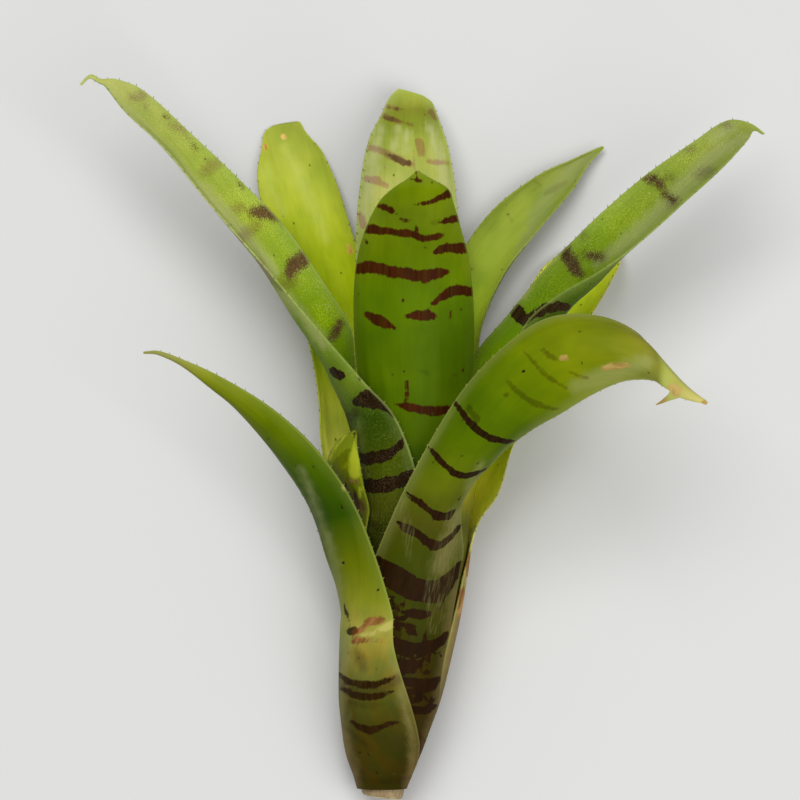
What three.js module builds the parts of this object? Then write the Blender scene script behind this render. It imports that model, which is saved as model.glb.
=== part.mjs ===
// A banded neoregelia: a small tank bromeliad, picked with a stub of its stem and laid on its back.
// It is drawn as it grows, in millimetres: x to the right, y up from the cut end of the stem, and
// z towards whoever looks down on it. The whole plant is then tipped so that it lies on three low
// places: the outermost sheath at its foot and two of its back leaves.
//
// A leaf is three lines, its two margins and its midrib, and each cross-section is the arc through
// them. Down in the tank the arc is part of a ring round the plant's axis, one ring inside the
// next. Above it the leaf goes its own way, through the sections in its list.
import * as THREE from "three";

// Driving dimensions, millimetres and degrees.
const CROWN_UP = 11; // how far the crown is raised when the foot and the back leaves lie flat
const LIFT = 8.95; // from the surface up to the cut end of the stem's axis
const CENTRE_X = 6; // the middle of the space that the lying plant takes up
const CENTRE_Y = 97.5;
const FOOT_X = -4.9; // of the plant's axis, at the cut end of the stem
const LEAN = 0.13; // how far the axis leans right for each millimetre up
const RING_STEP = 1.25; // from one sheath to the next one in
const MIDDLE_THICKNESS = 0.9;
const EDGE_THICKNESS = 0.64;
const WRAP_STEP = 4; // between sections down in the tank
const SHEATH_STEP = 7.5; // between facets along the part without spines
const SPINE_PITCH = 10;
const SPINE_WIDTH = 1.1;
const SPINE = { length: 0.9, sweep: 0.5 }; // sweep is how far it leans towards the leaf's tip
const TIP_STEPS = [8, 5.5, 3.5, 2, 0.9, 0]; // distances of the last facets from the tip
const FACETS_ACROSS = 8;
const TIP_TAPER = 20; // length over which a blade thins towards its tip
const SLOPE_REACH = 0.25; // to either side of a place, where the lengthwise slope is taken
const SLOPE_SIDE = 0.02; // to either side of a point across the leaf, for the crosswise slope
const MARGIN_BAND = 0.9; // the side from which a spine's direction is taken, just in from the margin
const STRAIGHT = 1e-4; // square millimetres between three points that count as in line

// The outside of the tank: height up the axis, then the radius there.
const TANK = [
  [0, 6.4], [4, 7.6], [12, 11.4], [20, 13.6], [26, 15], [35, 16.2], [50, 17.6], [65, 18.2], [90, 19.2],
];

// The stem inside: height, then radius.
const STEM = [
  [0, 0], [0, 4.8], [0.7, 5.5], [3, 5.85], [13, 5.65], [17, 5.4], [21, 5.1], [25, 4.8], [30, 3.9],
  [33, 2.4], [34.5, 0],
];
const STEM_SIDES = 20;

// The leaves, from the outermost in. ring counts the sheaths outside this one. wrap holds a height,
// then the bearings of the left and the right margin round the axis, as they are seen from outside
// the plant; a bearing of 0 points right and 90 towards the viewer. blade holds the left margin,
// the midrib and the right margin of each section above the tank.
const LEAVES = [
  {
    name: "leaf_left_low",
    color: 0x5d8420,
    facets: 12,
    ring: 0,
    wrap: [[2.5, 304, 20], [12, 302, 40], [25, 294, 71], [40, 256, 96], [50, 220, 102]],
    blade: [
      [[-19, 62.5, -2], [-16.2, 64, 9.5], [-6.8, 66, 16.5]],
      [[-24.5, 78, 3], [-20.6, 79.2, 12], [-13, 81, 17.3]],
      [[-32.3, 91, 6], [-28.2, 91.5, 13.5], [-21.9, 93.6, 17]],
      [[-41.9, 103, 8], [-37.9, 102.2, 13.5], [-33.2, 104.2, 15.8]],
      [[-50.5, 111, 8.5], [-48.6, 110.2, 12], [-46, 112.4, 13]],
      [[-59.2, 117, 8], [-59, 117.5, 9], [-58.7, 118.3, 9.4]],
      [[-65, 119.5, 6.4], [-65, 119.9, 6.8], [-65, 120.4, 7]],
      [[-69, 119.8, 4.7], [-69, 120, 4.9], [-69, 120.2, 5]],
    ],
  },
  {
    name: "leaf_right_front",
    color: 0x6f9423,
    ring: 1,
    spur: { from: 10.1, to: 6.9, length: 5.4, sweep: -2.6 },
    wrap: [
      [6, 150, 10], [12, 150, 24], [24, 145, 27], [33, 142, 36], [45, 138, 38], [56, 132, 38], [66, 127, 37],
    ],
    blade: [
      [[1.1, 83, 17.8], [9.5, 79, 20.3], [16.8, 80, 14]],
      [[8.2, 96.5, 22], [17, 91.5, 26], [26, 92, 20.5]],
      [[17.2, 110.5, 26.5], [25.5, 103.5, 32], [34.3, 98.8, 27]],
      [[27.3, 121.2, 30.5], [35, 113, 37], [42.8, 104, 32.5]],
      [[39, 128.7, 33.5], [45, 119, 41.5], [51, 109, 38]],
      [[52, 129.2, 36], [55.5, 121, 44.5], [59, 112.3, 42]],
      [[62.5, 124.8, 38], [65, 118, 45.5], [66.5, 112.4, 44]],
      [[70, 116.5, 41.5], [70.2, 113.5, 45], [69.6, 110.5, 45]],
      [[76, 110.2, 42.5], [75.2, 109, 44], [74, 107.8, 44]],
      [[80.9, 106.6, 42.8], [80.7, 106.3, 43], [80.5, 106, 43.2]],
    ],
  },
  {
    name: "leaf_small_left",
    color: 0x8a9a2a,
    ring: 1,
    wrap: [[8, 190, 158], [30, 188, 153], [50, 186, 148], [66, 186, 145], [78, 187, 143]],
    blade: [
      [[-17, 85, 0], [-13.5, 84, 7.5], [-9.8, 84, 11.5]],
      [[-19.5, 91, 2], [-15, 92, 8.6], [-10.8, 90.5, 11.2]],
      [[-16.4, 96.5, 4.6], [-13.9, 96.5, 7.8], [-11.6, 95.5, 9.9]],
      [[-12.2, 98.9, 8.5], [-11.9, 99, 8.8], [-11.6, 98.9, 9.1]],
    ],
  },
  {
    name: "leaf_left_back",
    color: 0xa3ad22,
    ring: 2,
    wrap: [[8, 282, 150], [30, 281, 160], [50, 280, 173], [62, 276, 186]],
    blade: [
      [[2, 75, -17.5], [-10.5, 75, -14], [-15, 74, -3]],
      [[-0.5, 92, -19.5], [-14, 92, -18], [-20.8, 92.5, -7]],
      [[-2.5, 108, -22.5], [-15.5, 108, -23], [-22.3, 108, -13]],
      [[-5, 125, -25], [-18, 125, -28], [-25.2, 123.5, -19]],
      [[-9.5, 141, -29], [-21.5, 141.5, -33.5], [-31, 139, -26]],
      [[-13.6, 154, -32.3], [-25.5, 156, -37.8], [-36.3, 155, -31.8]],
      [[-17.3, 166, -36.3], [-28.5, 168, -41.8], [-39.2, 168.5, -37.3]],
      [[-21.6, 175.5, -40.3], [-30.3, 177, -44.3], [-38.3, 177, -41.3]],
      [[-25.8, 181, -43.3], [-31, 182.8, -45.3], [-36.5, 182.6, -44.3]],
      [[-27.6, 184, -45.4], [-28.6, 184.3, -45.6], [-29.6, 184, -45.5]],
    ],
  },
  {
    name: "leaf_right_low",
    color: 0x9aa91f,
    ring: 2,
    wrap: [[8, 35, -74], [25, 32, -74], [45, 28, -74], [60, 20, -72]],
    blade: [
      [[21, 73.5, 1], [17, 72, -10], [6.5, 74, -17.5]],
      [[26.5, 82, -2], [20.5, 83, -13.5], [10, 86, -20]],
      [[31, 96, -6], [26, 98, -20], [16, 101, -25]],
      [[42, 115, -14], [34.5, 117.5, -27], [25, 119.5, -29]],
      [[52.5, 131, -21.4], [44.8, 132.7, -33.4], [34, 134.8, -32.4]],
      [[58.3, 141, -28.4], [51, 142.6, -37.7], [40.8, 144.8, -35.4]],
      [[60.8, 147, -33.4], [56.5, 149.5, -38.7], [50.8, 151, -37.4]],
      [[60.5, 152.6, -38.4], [59.8, 153.2, -39], [58.8, 153.6, -38.8]],
    ],
  },
  {
    name: "leaf_left_high",
    color: 0x5f8f1c,
    ring: 3,
    wrap: [[10.5, 250, 95], [30, 250, 95], [50, 250, 95], [66, 248, 96]],
    blade: [
      [[-1, 81, -15.5], [-9.6, 80, 2], [4.5, 79.5, 15.5]],
      [[-5, 92, -15], [-10.8, 90, 2.5], [3.9, 89.4, 16.5]],
      [[-11, 105, -13], [-13, 101, 3.5], [-1.5, 103, 17]],
      [[-12.3, 118, -10.3], [-17.5, 110.5, 4], [-9.5, 111.8, 15.5]],
      [[-13.6, 127.3, -8], [-22.3, 120, 3.5], [-17.8, 121.2, 13]],
      [[-21.3, 140, -7], [-29, 130.5, 2], [-26.2, 131, 10.5]],
      [[-31, 154, -6.5], [-37.6, 145.3, -0.5], [-37.3, 144, 7.5]],
      [[-43.5, 167, -6], [-48.5, 161, -2], [-50.5, 159.3, 5]],
      [[-56.5, 179.3, -5], [-61, 175.8, -2.5], [-63, 174.5, 3]],
      [[-69.5, 191, -3], [-72, 187.5, -1.8], [-73.5, 184.5, 1.5]],
      [[-77, 194, -1], [-78.3, 193, -0.6], [-79.5, 192, 0.4]],
      [[-80.7, 193.8, -0.7], [-81, 193.3, -0.3], [-81.2, 192.8, 0.1]],
      [[-83.5, 195, -0.3], [-83.7, 194.5, 0], [-83.8, 194, 0.2]],
      [[-86.5, 192.5, 0], [-86.3, 192.3, 0], [-86, 192, 0]],
    ],
  },
  {
    name: "leaf_right_high",
    color: 0x6c9a22,
    ring: 3,
    wrap: [[10.5, 72, -85], [30, 72, -80], [50, 70, -68], [66, 65, -56]],
    blade: [
      [[12.3, 80, 12.8], [19.4, 80, -0.5], [15, 81, -9.8]],
      [[17, 92, 11.5], [22.5, 91, 0], [16.5, 94, -10.2]],
      [[22.5, 103, 11], [27.5, 102, 0], [17.6, 107, -9.5]],
      [[28.5, 115.5, 10.5], [34.5, 112.5, 1], [20, 119, -8.5]],
      [[33.5, 127.5, 10.5], [39, 121.5, 2], [29.2, 130.1, -8.5]],
      [[41.3, 134.5, 9], [45.2, 131.2, 1.5], [39.5, 143, -8]],
      [[52.7, 141, 7], [54.5, 140, 0], [47.3, 150.8, -8]],
      [[62, 147.5, 5], [61.5, 149.5, -1.5], [55, 158.3, -7]],
      [[75.6, 159.6, 4], [73.5, 161.5, -2], [67, 168.5, -6]],
      [[87.5, 170.5, 3], [85.5, 172.5, -1.5], [80, 177.5, -4.5]],
      [[93.7, 177.3, 2], [92, 179, -0.8], [88.5, 182.8, -2.5]],
      [[95.5, 180, 1], [94.9, 181, 0], [94, 182.2, -0.6]],
      [[98.1, 178.8, 0.3], [98.3, 179, 0.3], [98.5, 179.2, 0.3]],
    ],
  },
  {
    name: "leaf_centre_front",
    color: 0x4f7f1a,
    ring: 4,
    wrap: [[13.5, 165, 15], [40, 165, 15], [68, 158, 20]],
    blade: [
      [[-6.5, 83, 5], [4.8, 82, 12.8], [16.4, 83, 5]],
      [[-8.5, 100, 5.5], [4.8, 99, 14], [18.2, 99.5, 6.5]],
      [[-11.3, 115, 7.5], [4, 114, 15], [19.2, 114, 8]],
      [[-12.3, 131, 9.5], [3.6, 130, 16.5], [19.7, 130, 10]],
      [[-11.4, 144, 13], [3.8, 143.5, 19], [18.6, 143.5, 13]],
      [[-8.7, 153.6, 17.5], [3.8, 153.2, 22.5], [16.2, 153.2, 18]],
      [[-5.4, 160.3, 22], [4, 159.8, 25.5], [14.2, 159.8, 21.8]],
      [[-1.8, 163.5, 25.2], [4.3, 163.5, 27.5], [12.6, 163.5, 24.2]],
      [[1.6, 165.6, 27.4], [4.5, 165.6, 28.2], [8.8, 165.6, 26.8]],
      [[4.2, 167.8, 29], [4.6, 167.9, 29], [5, 167.8, 29]],
    ],
  },
  {
    name: "leaf_right_back",
    color: 0x8aa62c,
    ring: 4,
    wrap: [[13.5, 10, -100], [40, 0, -110], [65, -36, -128], [78, -60, -140]],
    blade: [
      [[17.5, 95, -16], [11, 94, -20], [2, 96, -18.5]],
      [[20.8, 110, -15.5], [13.5, 110, -23], [3.5, 111, -22.5]],
      [[22, 126, -18], [16.4, 127, -27], [8.2, 129.5, -27]],
      [[28.3, 141.2, -23], [22.8, 143, -32], [16.2, 146.3, -30]],
      [[37.6, 153.5, -28], [33, 156.2, -36], [26.4, 160.3, -33]],
      [[47.5, 165, -34], [43.8, 167, -39], [38.6, 169.6, -36.5]],
      [[52.5, 172.6, -38], [50.6, 173.3, -40.2], [47.4, 173.6, -39]],
      [[56.5, 177.1, -41], [56.3, 177.3, -41], [56.1, 177.5, -41]],
    ],
  },
  {
    name: "leaf_centre_back",
    color: 0x9cae35,
    ring: 5,
    wrap: [[17, -35, -155], [45, -35, -155], [65, -41, -152], [80, -50, -146]],
    blade: [
      [[15, 100, -11.5], [4, 100, -16], [-8.2, 100, -10.5]],
      [[17, 120, -14], [3.3, 120, -19.5], [-10.5, 120, -13]],
      [[16.5, 140, -18.5], [2.6, 140, -24], [-11.8, 140, -17.5]],
      [[16, 155.5, -22], [2.2, 156, -27.5], [-11.6, 156, -21]],
      [[14.8, 168, -25.5], [2.2, 169, -31], [-10.2, 169, -25]],
      [[12.8, 178, -29.5], [2.2, 179, -34], [-8.2, 179, -29.5]],
      [[10.2, 185.8, -33.5], [2.4, 186.5, -36.5], [-5, 186.2, -34]],
      [[8.9, 189.4, -36.8], [3, 190.8, -38], [-2.8, 191, -37.2]],
      [[6.6, 191.2, -38.3], [2.9, 192.4, -39], [-0.5, 193.3, -38.6]],
    ],
  },
  {
    name: "leaf_heart_right",
    color: 0x7fa03a,
    ring: 6,
    wrap: [[21, 125, -20], [45, 125, -20], [70, 120, -15]],
    blade: [
      [[1, 90, 9.5], [12.5, 90, 9], [16, 90, -1]],
      [[4, 104, 9.5], [12, 104, 8], [14.5, 104, 1]],
      [[8.6, 117, 6.2], [9.3, 117.3, 6], [9.9, 117, 5.6]],
    ],
  },
  {
    name: "leaf_heart_left",
    color: 0x8aa845,
    ring: 6,
    wrap: [[21, 325, 190], [45, 325, 190], [66, 320, 195]],
    blade: [
      [[13, 84, -5.5], [3, 84, -9], [-4, 84, -2]],
      [[11, 96, -5.5], [3.5, 96, -8.5], [-1.5, 96, -3]],
      [[5.6, 109, -6.6], [4.9, 109.3, -6.9], [4.2, 109, -6.6]],
    ],
  },
  {
    name: "leaf_heart_spear",
    color: 0x98b254,
    ring: 8,
    wrap: [[28, 250, 30], [50, 250, 30], [66, 245, 40]],
    blade: [
      [[2.5, 84, -4], [-1, 83, 4], [8.5, 84, 5]],
      [[4.2, 99, 0.4], [4.2, 99.4, 1.2], [4.9, 99.2, 1.7]],
    ],
  },
];

// The row of a list at a place between its first and its last, on a smooth curve through them all.
// A row starts with its place; what follows it is returned.
function readOff(rows, place) {
  let i = 0;
  while (i < rows.length - 2 && rows[i + 1][0] <= place) i += 1;
  const [from, to] = [rows[i], rows[i + 1]];
  const before = rows[Math.max(i - 1, 0)];
  const after = rows[Math.min(i + 2, rows.length - 1)];
  const span = to[0] - from[0];
  const t = (place - from[0]) / span;
  return from.slice(1).map((a, k) => {
    const b = to[k + 1];
    const slopeOut = ((b - before[k + 1]) / (to[0] - before[0])) * span;
    const slopeIn = ((after[k + 1] - a) / (after[0] - from[0])) * span;
    const near = a * (1 + 2 * t) + slopeOut * t;
    const far = b * (3 - 2 * t) + slopeIn * (t - 1);
    return near * (1 - t) ** 2 + far * t ** 2;
  });
}

// A point on a sheath's middle surface, by its ring, height and bearing.
function onRing(ring, height, bearing) {
  const [outside] = readOff(TANK, height);
  const radius = outside - ring * RING_STEP - MIDDLE_THICKNESS / 2;
  const angle = THREE.MathUtils.degToRad(bearing);
  const axis = FOOT_X + LEAN * height;
  return [axis + radius * Math.cos(angle), height, radius * Math.sin(angle)];
}

// Every section of a leaf as a row: distance along the midrib, then the left margin, the midrib and
// the right margin.
function sectionsOf({ ring, wrap, blade }) {
  const sections = [];
  const bottom = wrap[0][0];
  const top = wrap.at(-1)[0];
  const count = Math.round((top - bottom) / WRAP_STEP);
  for (let i = 0; i <= count; i += 1) {
    const height = bottom + ((top - bottom) * i) / count;
    const [left, right] = readOff(wrap, height);
    sections.push([left, (left + right) / 2, right].map((bearing) => onRing(ring, height, bearing)));
  }
  sections.push(...blade);
  let along = 0;
  return sections.map((section, i) => {
    if (i > 0) along += Math.hypot(...section[1].map((v, k) => v - sections[i - 1][1][k]));
    return [along, ...section.flat()];
  });
}

// A point on the circle through a left margin, a midrib and a right margin, where side runs from
// -1 at the left margin through 0 at the midrib to 1 at the right one.
function onArc(values, side) {
  const [left, middle, right] = [0, 3, 6].map((k) => new THREE.Vector3().fromArray(values, k));
  const toLeft = left.sub(middle);
  const toRight = right.sub(middle);
  const cross = toLeft.clone().cross(toRight);
  if (cross.length() < STRAIGHT) return middle.addScaledVector(side < 0 ? toLeft : toRight, Math.abs(side));
  const inward = toRight.clone().multiplyScalar(toLeft.lengthSq());
  inward.addScaledVector(toLeft, -toRight.lengthSq()).cross(cross);
  inward.divideScalar(2 * cross.lengthSq());
  const radius = inward.length();
  inward.normalize();
  const along = cross.normalize().cross(inward);
  const chord = side < 0 ? toLeft : toRight;
  const angle = 2 * Math.asin(Math.min(chord.length() / (2 * radius), 1)) * side;
  return middle
    .addScaledVector(along, radius * Math.sin(angle))
    .addScaledVector(inward, radius * (1 - Math.cos(angle)));
}

// Where the facets of a leaf lie along it. Above the sheath they come in close pairs, and each pair
// carries a spine.
function facetPlaces(length, sheath, spur) {
  const places = [];
  const plain = Math.round(sheath / SHEATH_STEP);
  for (let i = 0; i < plain; i += 1) places.push((sheath * i) / plain);
  const spines = [];
  const tip = spur ? [spur.from, spur.to, ...TIP_STEPS.filter((step) => step < spur.to)] : TIP_STEPS;
  for (let at = sheath; at < length - tip[0] - 2 * SPINE_WIDTH; at += SPINE_PITCH) {
    spines.push(places.length);
    places.push(at, at + SPINE_WIDTH);
  }
  const spurAt = spur ? places.length : -1;
  tip.forEach((step) => places.push(length - step));
  return { places, spines, spurAt };
}

// The direction straight up from the surface that the plant lies on, in the plant's own axes.
const UP = new THREE.Vector3(0, Math.sin(THREE.MathUtils.degToRad(CROWN_UP)), 0);
UP.z = Math.cos(THREE.MathUtils.degToRad(CROWN_UP));

// Where a leaf would dip below the surface, it is pressed flat against it.
function pressed(point, least) {
  const height = point.dot(UP) + LIFT;
  return height < least ? point.addScaledVector(UP, least - height) : point;
}

// The solid of a leaf: an outer and an inner face, joined round the edge, with its spines.
function leafGeometry(leaf) {
  const rows = sectionsOf(leaf);
  const length = rows.at(-1)[0];
  const sheath = rows[rows.length - leaf.blade.length - 1][0];
  const { places, spines, spurAt } = facetPlaces(length, sheath, leaf.spur);
  const facets = leaf.facets ?? FACETS_ACROSS;
  const positions = [];
  const index = [];
  const add = (point) => positions.push(...point.toArray()) / 3 - 1;
  const quad = (a, b, c, d) => index.push(a, b, c, a, c, d);
  const surface = (place, side) => onArc(readOff(rows, place), side);

  const outer = [];
  const inner = [];
  for (const place of places) {
    const outerRow = [];
    const innerRow = [];
    const from = Math.max(place - SLOPE_REACH, 0);
    const to = Math.min(place + SLOPE_REACH, length);
    for (let i = 0; i <= facets; i += 1) {
      const side = (2 * i) / facets - 1;
      const lengthwise = surface(to, side).sub(surface(from, side));
      const across = surface(place, side + SLOPE_SIDE).sub(surface(place, side - SLOPE_SIDE));
      const outward = across.cross(lengthwise).normalize();
      const share = (1 - side * side) * Math.min((length - place) / TIP_TAPER, 1);
      const half = (EDGE_THICKNESS + (MIDDLE_THICKNESS - EDGE_THICKNESS) * share) / 2;
      const point = surface(place, side);
      outerRow.push(add(pressed(point.clone().addScaledVector(outward, half), 0)));
      innerRow.push(add(pressed(point.addScaledVector(outward, -half), EDGE_THICKNESS)));
    }
    outer.push(outerRow);
    inner.push(innerRow);
  }

  const last = places.length - 1;
  for (let j = 0; j < last; j += 1) {
    for (let i = 0; i < facets; i += 1) {
      quad(outer[j][i], outer[j][i + 1], outer[j + 1][i + 1], outer[j + 1][i]);
      quad(inner[j][i], inner[j + 1][i], inner[j + 1][i + 1], inner[j][i + 1]);
    }
  }
  for (let i = 0; i < facets; i += 1) {
    quad(outer[0][i], inner[0][i], inner[0][i + 1], outer[0][i + 1]);
    quad(outer[last][i], outer[last][i + 1], inner[last][i + 1], inner[last][i]);
  }

  // Each margin: plain facets, and a four-sided spine on each close pair.
  for (const [column, side] of [[0, -1], [facets, 1]]) {
    for (let j = 0; j < last; j += 1) {
      const ring = [outer[j][column], inner[j][column], inner[j + 1][column], outer[j + 1][column]];
      if (side < 0) ring.reverse();
      const spine = spines.includes(j) ? SPINE : side > 0 && j === spurAt && leaf.spur;
      if (!spine) {
        quad(...ring);
        continue;
      }
      const middle = (places[j] + places[j + 1]) / 2;
      const edge = surface(middle, side);
      const outward = edge.clone().sub(surface(middle, side * MARGIN_BAND)).normalize();
      const forward = surface(places[j + 1], side).sub(surface(places[j], side)).normalize();
      edge.addScaledVector(outward, spine.length).addScaledVector(forward, spine.sweep);
      const apex = add(pressed(edge, EDGE_THICKNESS / 2));
      ring.forEach((corner, k) => index.push(corner, ring[(k + 1) % 4], apex));
    }
  }
  const geometry = new THREE.BufferGeometry();
  geometry.setAttribute("position", new THREE.Float32BufferAttribute(positions, 3));
  geometry.setIndex(index);
  geometry.computeVertexNormals();
  return geometry;
}

function leafMesh(leaf) {
  const material = new THREE.MeshStandardMaterial({ color: leaf.color, roughness: 0.45, metalness: 0 });
  const mesh = new THREE.Mesh(leafGeometry(leaf), material);
  mesh.name = leaf.name;
  return mesh;
}

// The stub of stem that the leaves grow from, cut across at its foot.
function stemMesh() {
  const profile = STEM.map(([height, radius]) => new THREE.Vector2(radius, height));
  const geometry = new THREE.LatheGeometry(profile, STEM_SIDES);
  const material = new THREE.MeshStandardMaterial({ color: 0x8a7a4a, roughness: 0.8, metalness: 0 });
  const mesh = new THREE.Mesh(geometry, material);
  mesh.name = "stem";
  mesh.position.x = FOOT_X;
  mesh.rotation.z = -Math.atan(LEAN);
  return mesh;
}

const plant = new THREE.Group();
plant.add(stemMesh(), ...LEAVES.map(leafMesh));
plant.rotation.x = THREE.MathUtils.degToRad(CROWN_UP);
plant.position.set(-CENTRE_X, -CENTRE_Y, LIFT);

const part = new THREE.Group();
part.add(plant);

export default part;
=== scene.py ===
"""A banded neoregelia, picked with a stub of its stem and laid on its back on a pale surface.

The plant is drawn as it grows, in millimetres: x to the right, y up from the cut end of the stem,
and z towards whoever looks down on it. LAY_DOWN tips it onto the surface and turns it to metres.

A leaf is three lines, its two margins and its midrib, and each cross-section is the arc through
them. Down in the tank the arc is part of a ring round the plant's axis. The markings are strokes
that are laid over each leaf as it is seen from the front.
"""

import math

import bmesh
import bpy
from mathutils import Matrix, Vector, noise


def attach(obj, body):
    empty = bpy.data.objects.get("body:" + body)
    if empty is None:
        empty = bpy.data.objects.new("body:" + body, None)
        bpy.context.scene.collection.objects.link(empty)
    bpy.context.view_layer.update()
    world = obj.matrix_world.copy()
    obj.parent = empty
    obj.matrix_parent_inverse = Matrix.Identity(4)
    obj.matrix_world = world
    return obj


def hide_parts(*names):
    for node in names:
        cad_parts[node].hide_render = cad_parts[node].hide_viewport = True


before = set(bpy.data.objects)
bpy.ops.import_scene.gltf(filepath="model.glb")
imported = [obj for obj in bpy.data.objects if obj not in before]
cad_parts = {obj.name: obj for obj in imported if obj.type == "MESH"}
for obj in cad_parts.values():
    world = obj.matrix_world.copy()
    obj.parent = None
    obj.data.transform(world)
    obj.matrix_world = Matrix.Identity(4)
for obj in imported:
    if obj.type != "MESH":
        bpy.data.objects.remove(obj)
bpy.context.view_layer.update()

# ---- the plant as a whole, in millimetres and degrees ----

MM = 0.001  # metres
CM = 10  # millimetres
CROWN_UP = 11  # how steeply the plant lies, its crown higher than its foot
LIFT = 8.95  # of the axis above the surface, at the cut end
CENTRE_X = 6  # the middle of the plant, which goes above the origin
CENTRE_Y = 97.5
FOOT_X = -4.9  # where the axis of the tank meets the cut end
LEAN = 0.13  # how far the axis leans to the right for each millimetre up
RING_STEP = 1.25  # from one ring of sheaths to the next one inside it
TANK = [  # height, outer radius
    (0, 6.4), (4, 7.6), (12, 11.4), (20, 13.6), (26, 15), (35, 16.2), (50, 17.6), (65, 18.2),
    (90, 19.2),
]
STEM_CUT = [(0, 0.25), (2.2, 0.22), (4, 0.1), (4.8, 0), (5.2, 0.25), (5.5, 0.7)]  # radius, height
STEM_SIDE = [
    (5.85, 3), (5.65, 13), (5.4, 17), (5.1, 21), (4.8, 25), (3.9, 30), (2.4, 33), (0, 34.5),
]
STEM_STEPS = 72
STEM_ROUGH = 0.03  # share of its radius by which the bark stands out or in
RIB_HEIGHT = 0.00084  # the same for the fine ribs
RIBS = 17
RIB_TWIST = 0.3  # radians to a millimetre up
STEM_CALM = 4  # radius within which it stays smoother

# ---- leaves and spines, in millimetres ----

MIDDLE_THICKNESS = 0.9
EDGE_THICKNESS = 0.42
TIP_TAPER = 20  # the length at a tip over which a leaf thins to the thickness of its edge
EDGE_ROUND = 0.16  # width of the bevel on a leaf's rim
SHARP_EDGE = 50  # degrees, past which an edge is rounded
WRAP_STEP = 4  # between the sections of a sheath
ROW_STEP = 0.9  # between the rows of a leaf's mesh, on average
CROWDING = 1.2  # above 1, the rows lie closer towards the tip
STRAIGHT = 1e-4  # three points that make a smaller cross product lie on a line
FREE_FROM = 25  # how far above its sheath a blade is free to wave
STEADY_TIP = 9  # the length at a tip over which the waves die away
WAVES = [(0.55, 1.7, 0.33), (0.1, 5.5, 0.8)]  # height, then how many to a centimetre each way
LEAF_CLEAR = 0.46  # what stays between a leaf's middle surface and the surface it lies on
SPINE_CLEAR = 0.4  # the same for the middle of a spine
SPINE_PITCH = 2.6
PITCH_SWING = 0.12
SPINE_LENGTH = 0.46
SPINE_SIZE = 0.85  # of a middling one, and how much bigger or smaller the others are
SIZE_SWING = 0.3
SPINE_EXTRA = 0.3  # added to its length, half of it at the foot, inside the leaf
SPINE_RADIUS = 0.19
SPINE_POINT = 0.03  # radius of its blunt end
SPINE_SWEEP = 0.55  # how far a spine leans to the tip, as a share of how far it stands out
SPINES_FROM = 0.86  # of the sheath's length
BARE_TIP = 3  # the length at a tip that has no spines
INSIDE_MARGIN = 0.85  # a side just inside the margin, which shows which way is out
AHEAD = 0.6  # how far on to look, to see which way the margin runs

# A split tooth on the right margin of the broad front leaf, near its dry tip.
SPUR_FROM_TIP = 8.6
SPUR_HALF_WIDTH = 1.8
SPUR_LENGTH = 5.6
SPUR_SWEEP = -2.6  # it points back, away from the tip
SPUR_SIDE = 0.5  # it grows out of the leaf from here to the margin, which is at 1
SPUR_INSIDE = 0.9  # the tooth's own INSIDE_MARGIN and AHEAD
SPUR_AHEAD = 0.5

# ---- the front view: straight down on the plant's face, from high above ----

EYE_HEIGHT = 1600
EYE_Y = 107.2
VIEW_UNIT = 0.27  # millimetres to one unit of the view that the strokes are drawn on
VIEW_CENTRE_X = 400
VIEW_FOOT_Y = 797
FAR_OFF = -3.0  # millimetres outside a stroke, past which the distance isn't followed
STROKE_KINDS = ("band", "blotch", "faint", "dry", "pale", "bloom")

# ---- colours and effects ----

BROWN = (0.06, 0.026, 0.012)
RED_BROWN = (0.034, 0.0065, 0.001)
SPECK_COLOUR = (0.03, 0.04, 0.005)
SCURF_COLOUR = (0.42, 0.5, 0.12)
BAND_SCURF_COLOUR = (0.42, 0.32, 0.17)
SPINE_FOOT = (0.26, 0.32, 0.05)
SPINE_DARK = (0.1, 0.05, 0.015)
SPINE_LIGHT = (0.22, 0.15, 0.04)
BARK_DARK = (0.16, 0.1, 0.04)
BARK_LIGHT = (0.46, 0.34, 0.17)
BARK_BLOT = (0.12, 0.05, 0.02)
CUT_DARK = (0.26, 0.17, 0.07)
CUT_LIGHT = (0.55, 0.5, 0.28)

# Tints, which a colour is multiplied by.
SHADED = (0.82, 0.87, 0.75)
SUNNY = (1.22, 1.16, 1.2)
DEEP = (0.7, 0.78, 0.6)
BROWNER = (1.14, 1.02, 0.9)
GREENER = (0.84, 1.02, 1.25)
SCALY = (1.22, 1.16, 1.4)
BARE = (0.76, 0.84, 0.6)
VEINED = (1.45, 1.35, 1.7)
THIN_BAND = (1.5, 1.5, 1.5)

SPECK_SHARE = 0.75
SCURF_SHARE = 0.52
DRY_SHARE = 0.85
RIM_SHARE = 0.4
THICK_SCURF = 0.3  # above this, the scales lie so thick that they grain the leaf
LEAF_SHINE = 0.03
SPINE_ROUGHNESS = 0.45
STEM_ROUGHNESS = 0.75
LEAF_RELIEF = 0.12 * MM
STEM_RELIEF = 0.3 * MM
LIGHT_REACH = 1.6 * MM  # how far light runs in a leaf that lets it through

# ---- camera, floor and light, in metres ----

SENSOR = 36  # millimetres
FLOOR_HALF = 3
FLOOR_COLOUR = (0.6, 0.6, 0.59, 1)
FLOOR_ROUGHNESS = 0.9
WHITE = (1, 1, 1, 1)
SKY_STRENGTH = 0.33
LIGHT_AIM = (0, 0, 0.03)  # the middle of the plant

# ---- what a leaf has unless it is given its own ----

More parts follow.
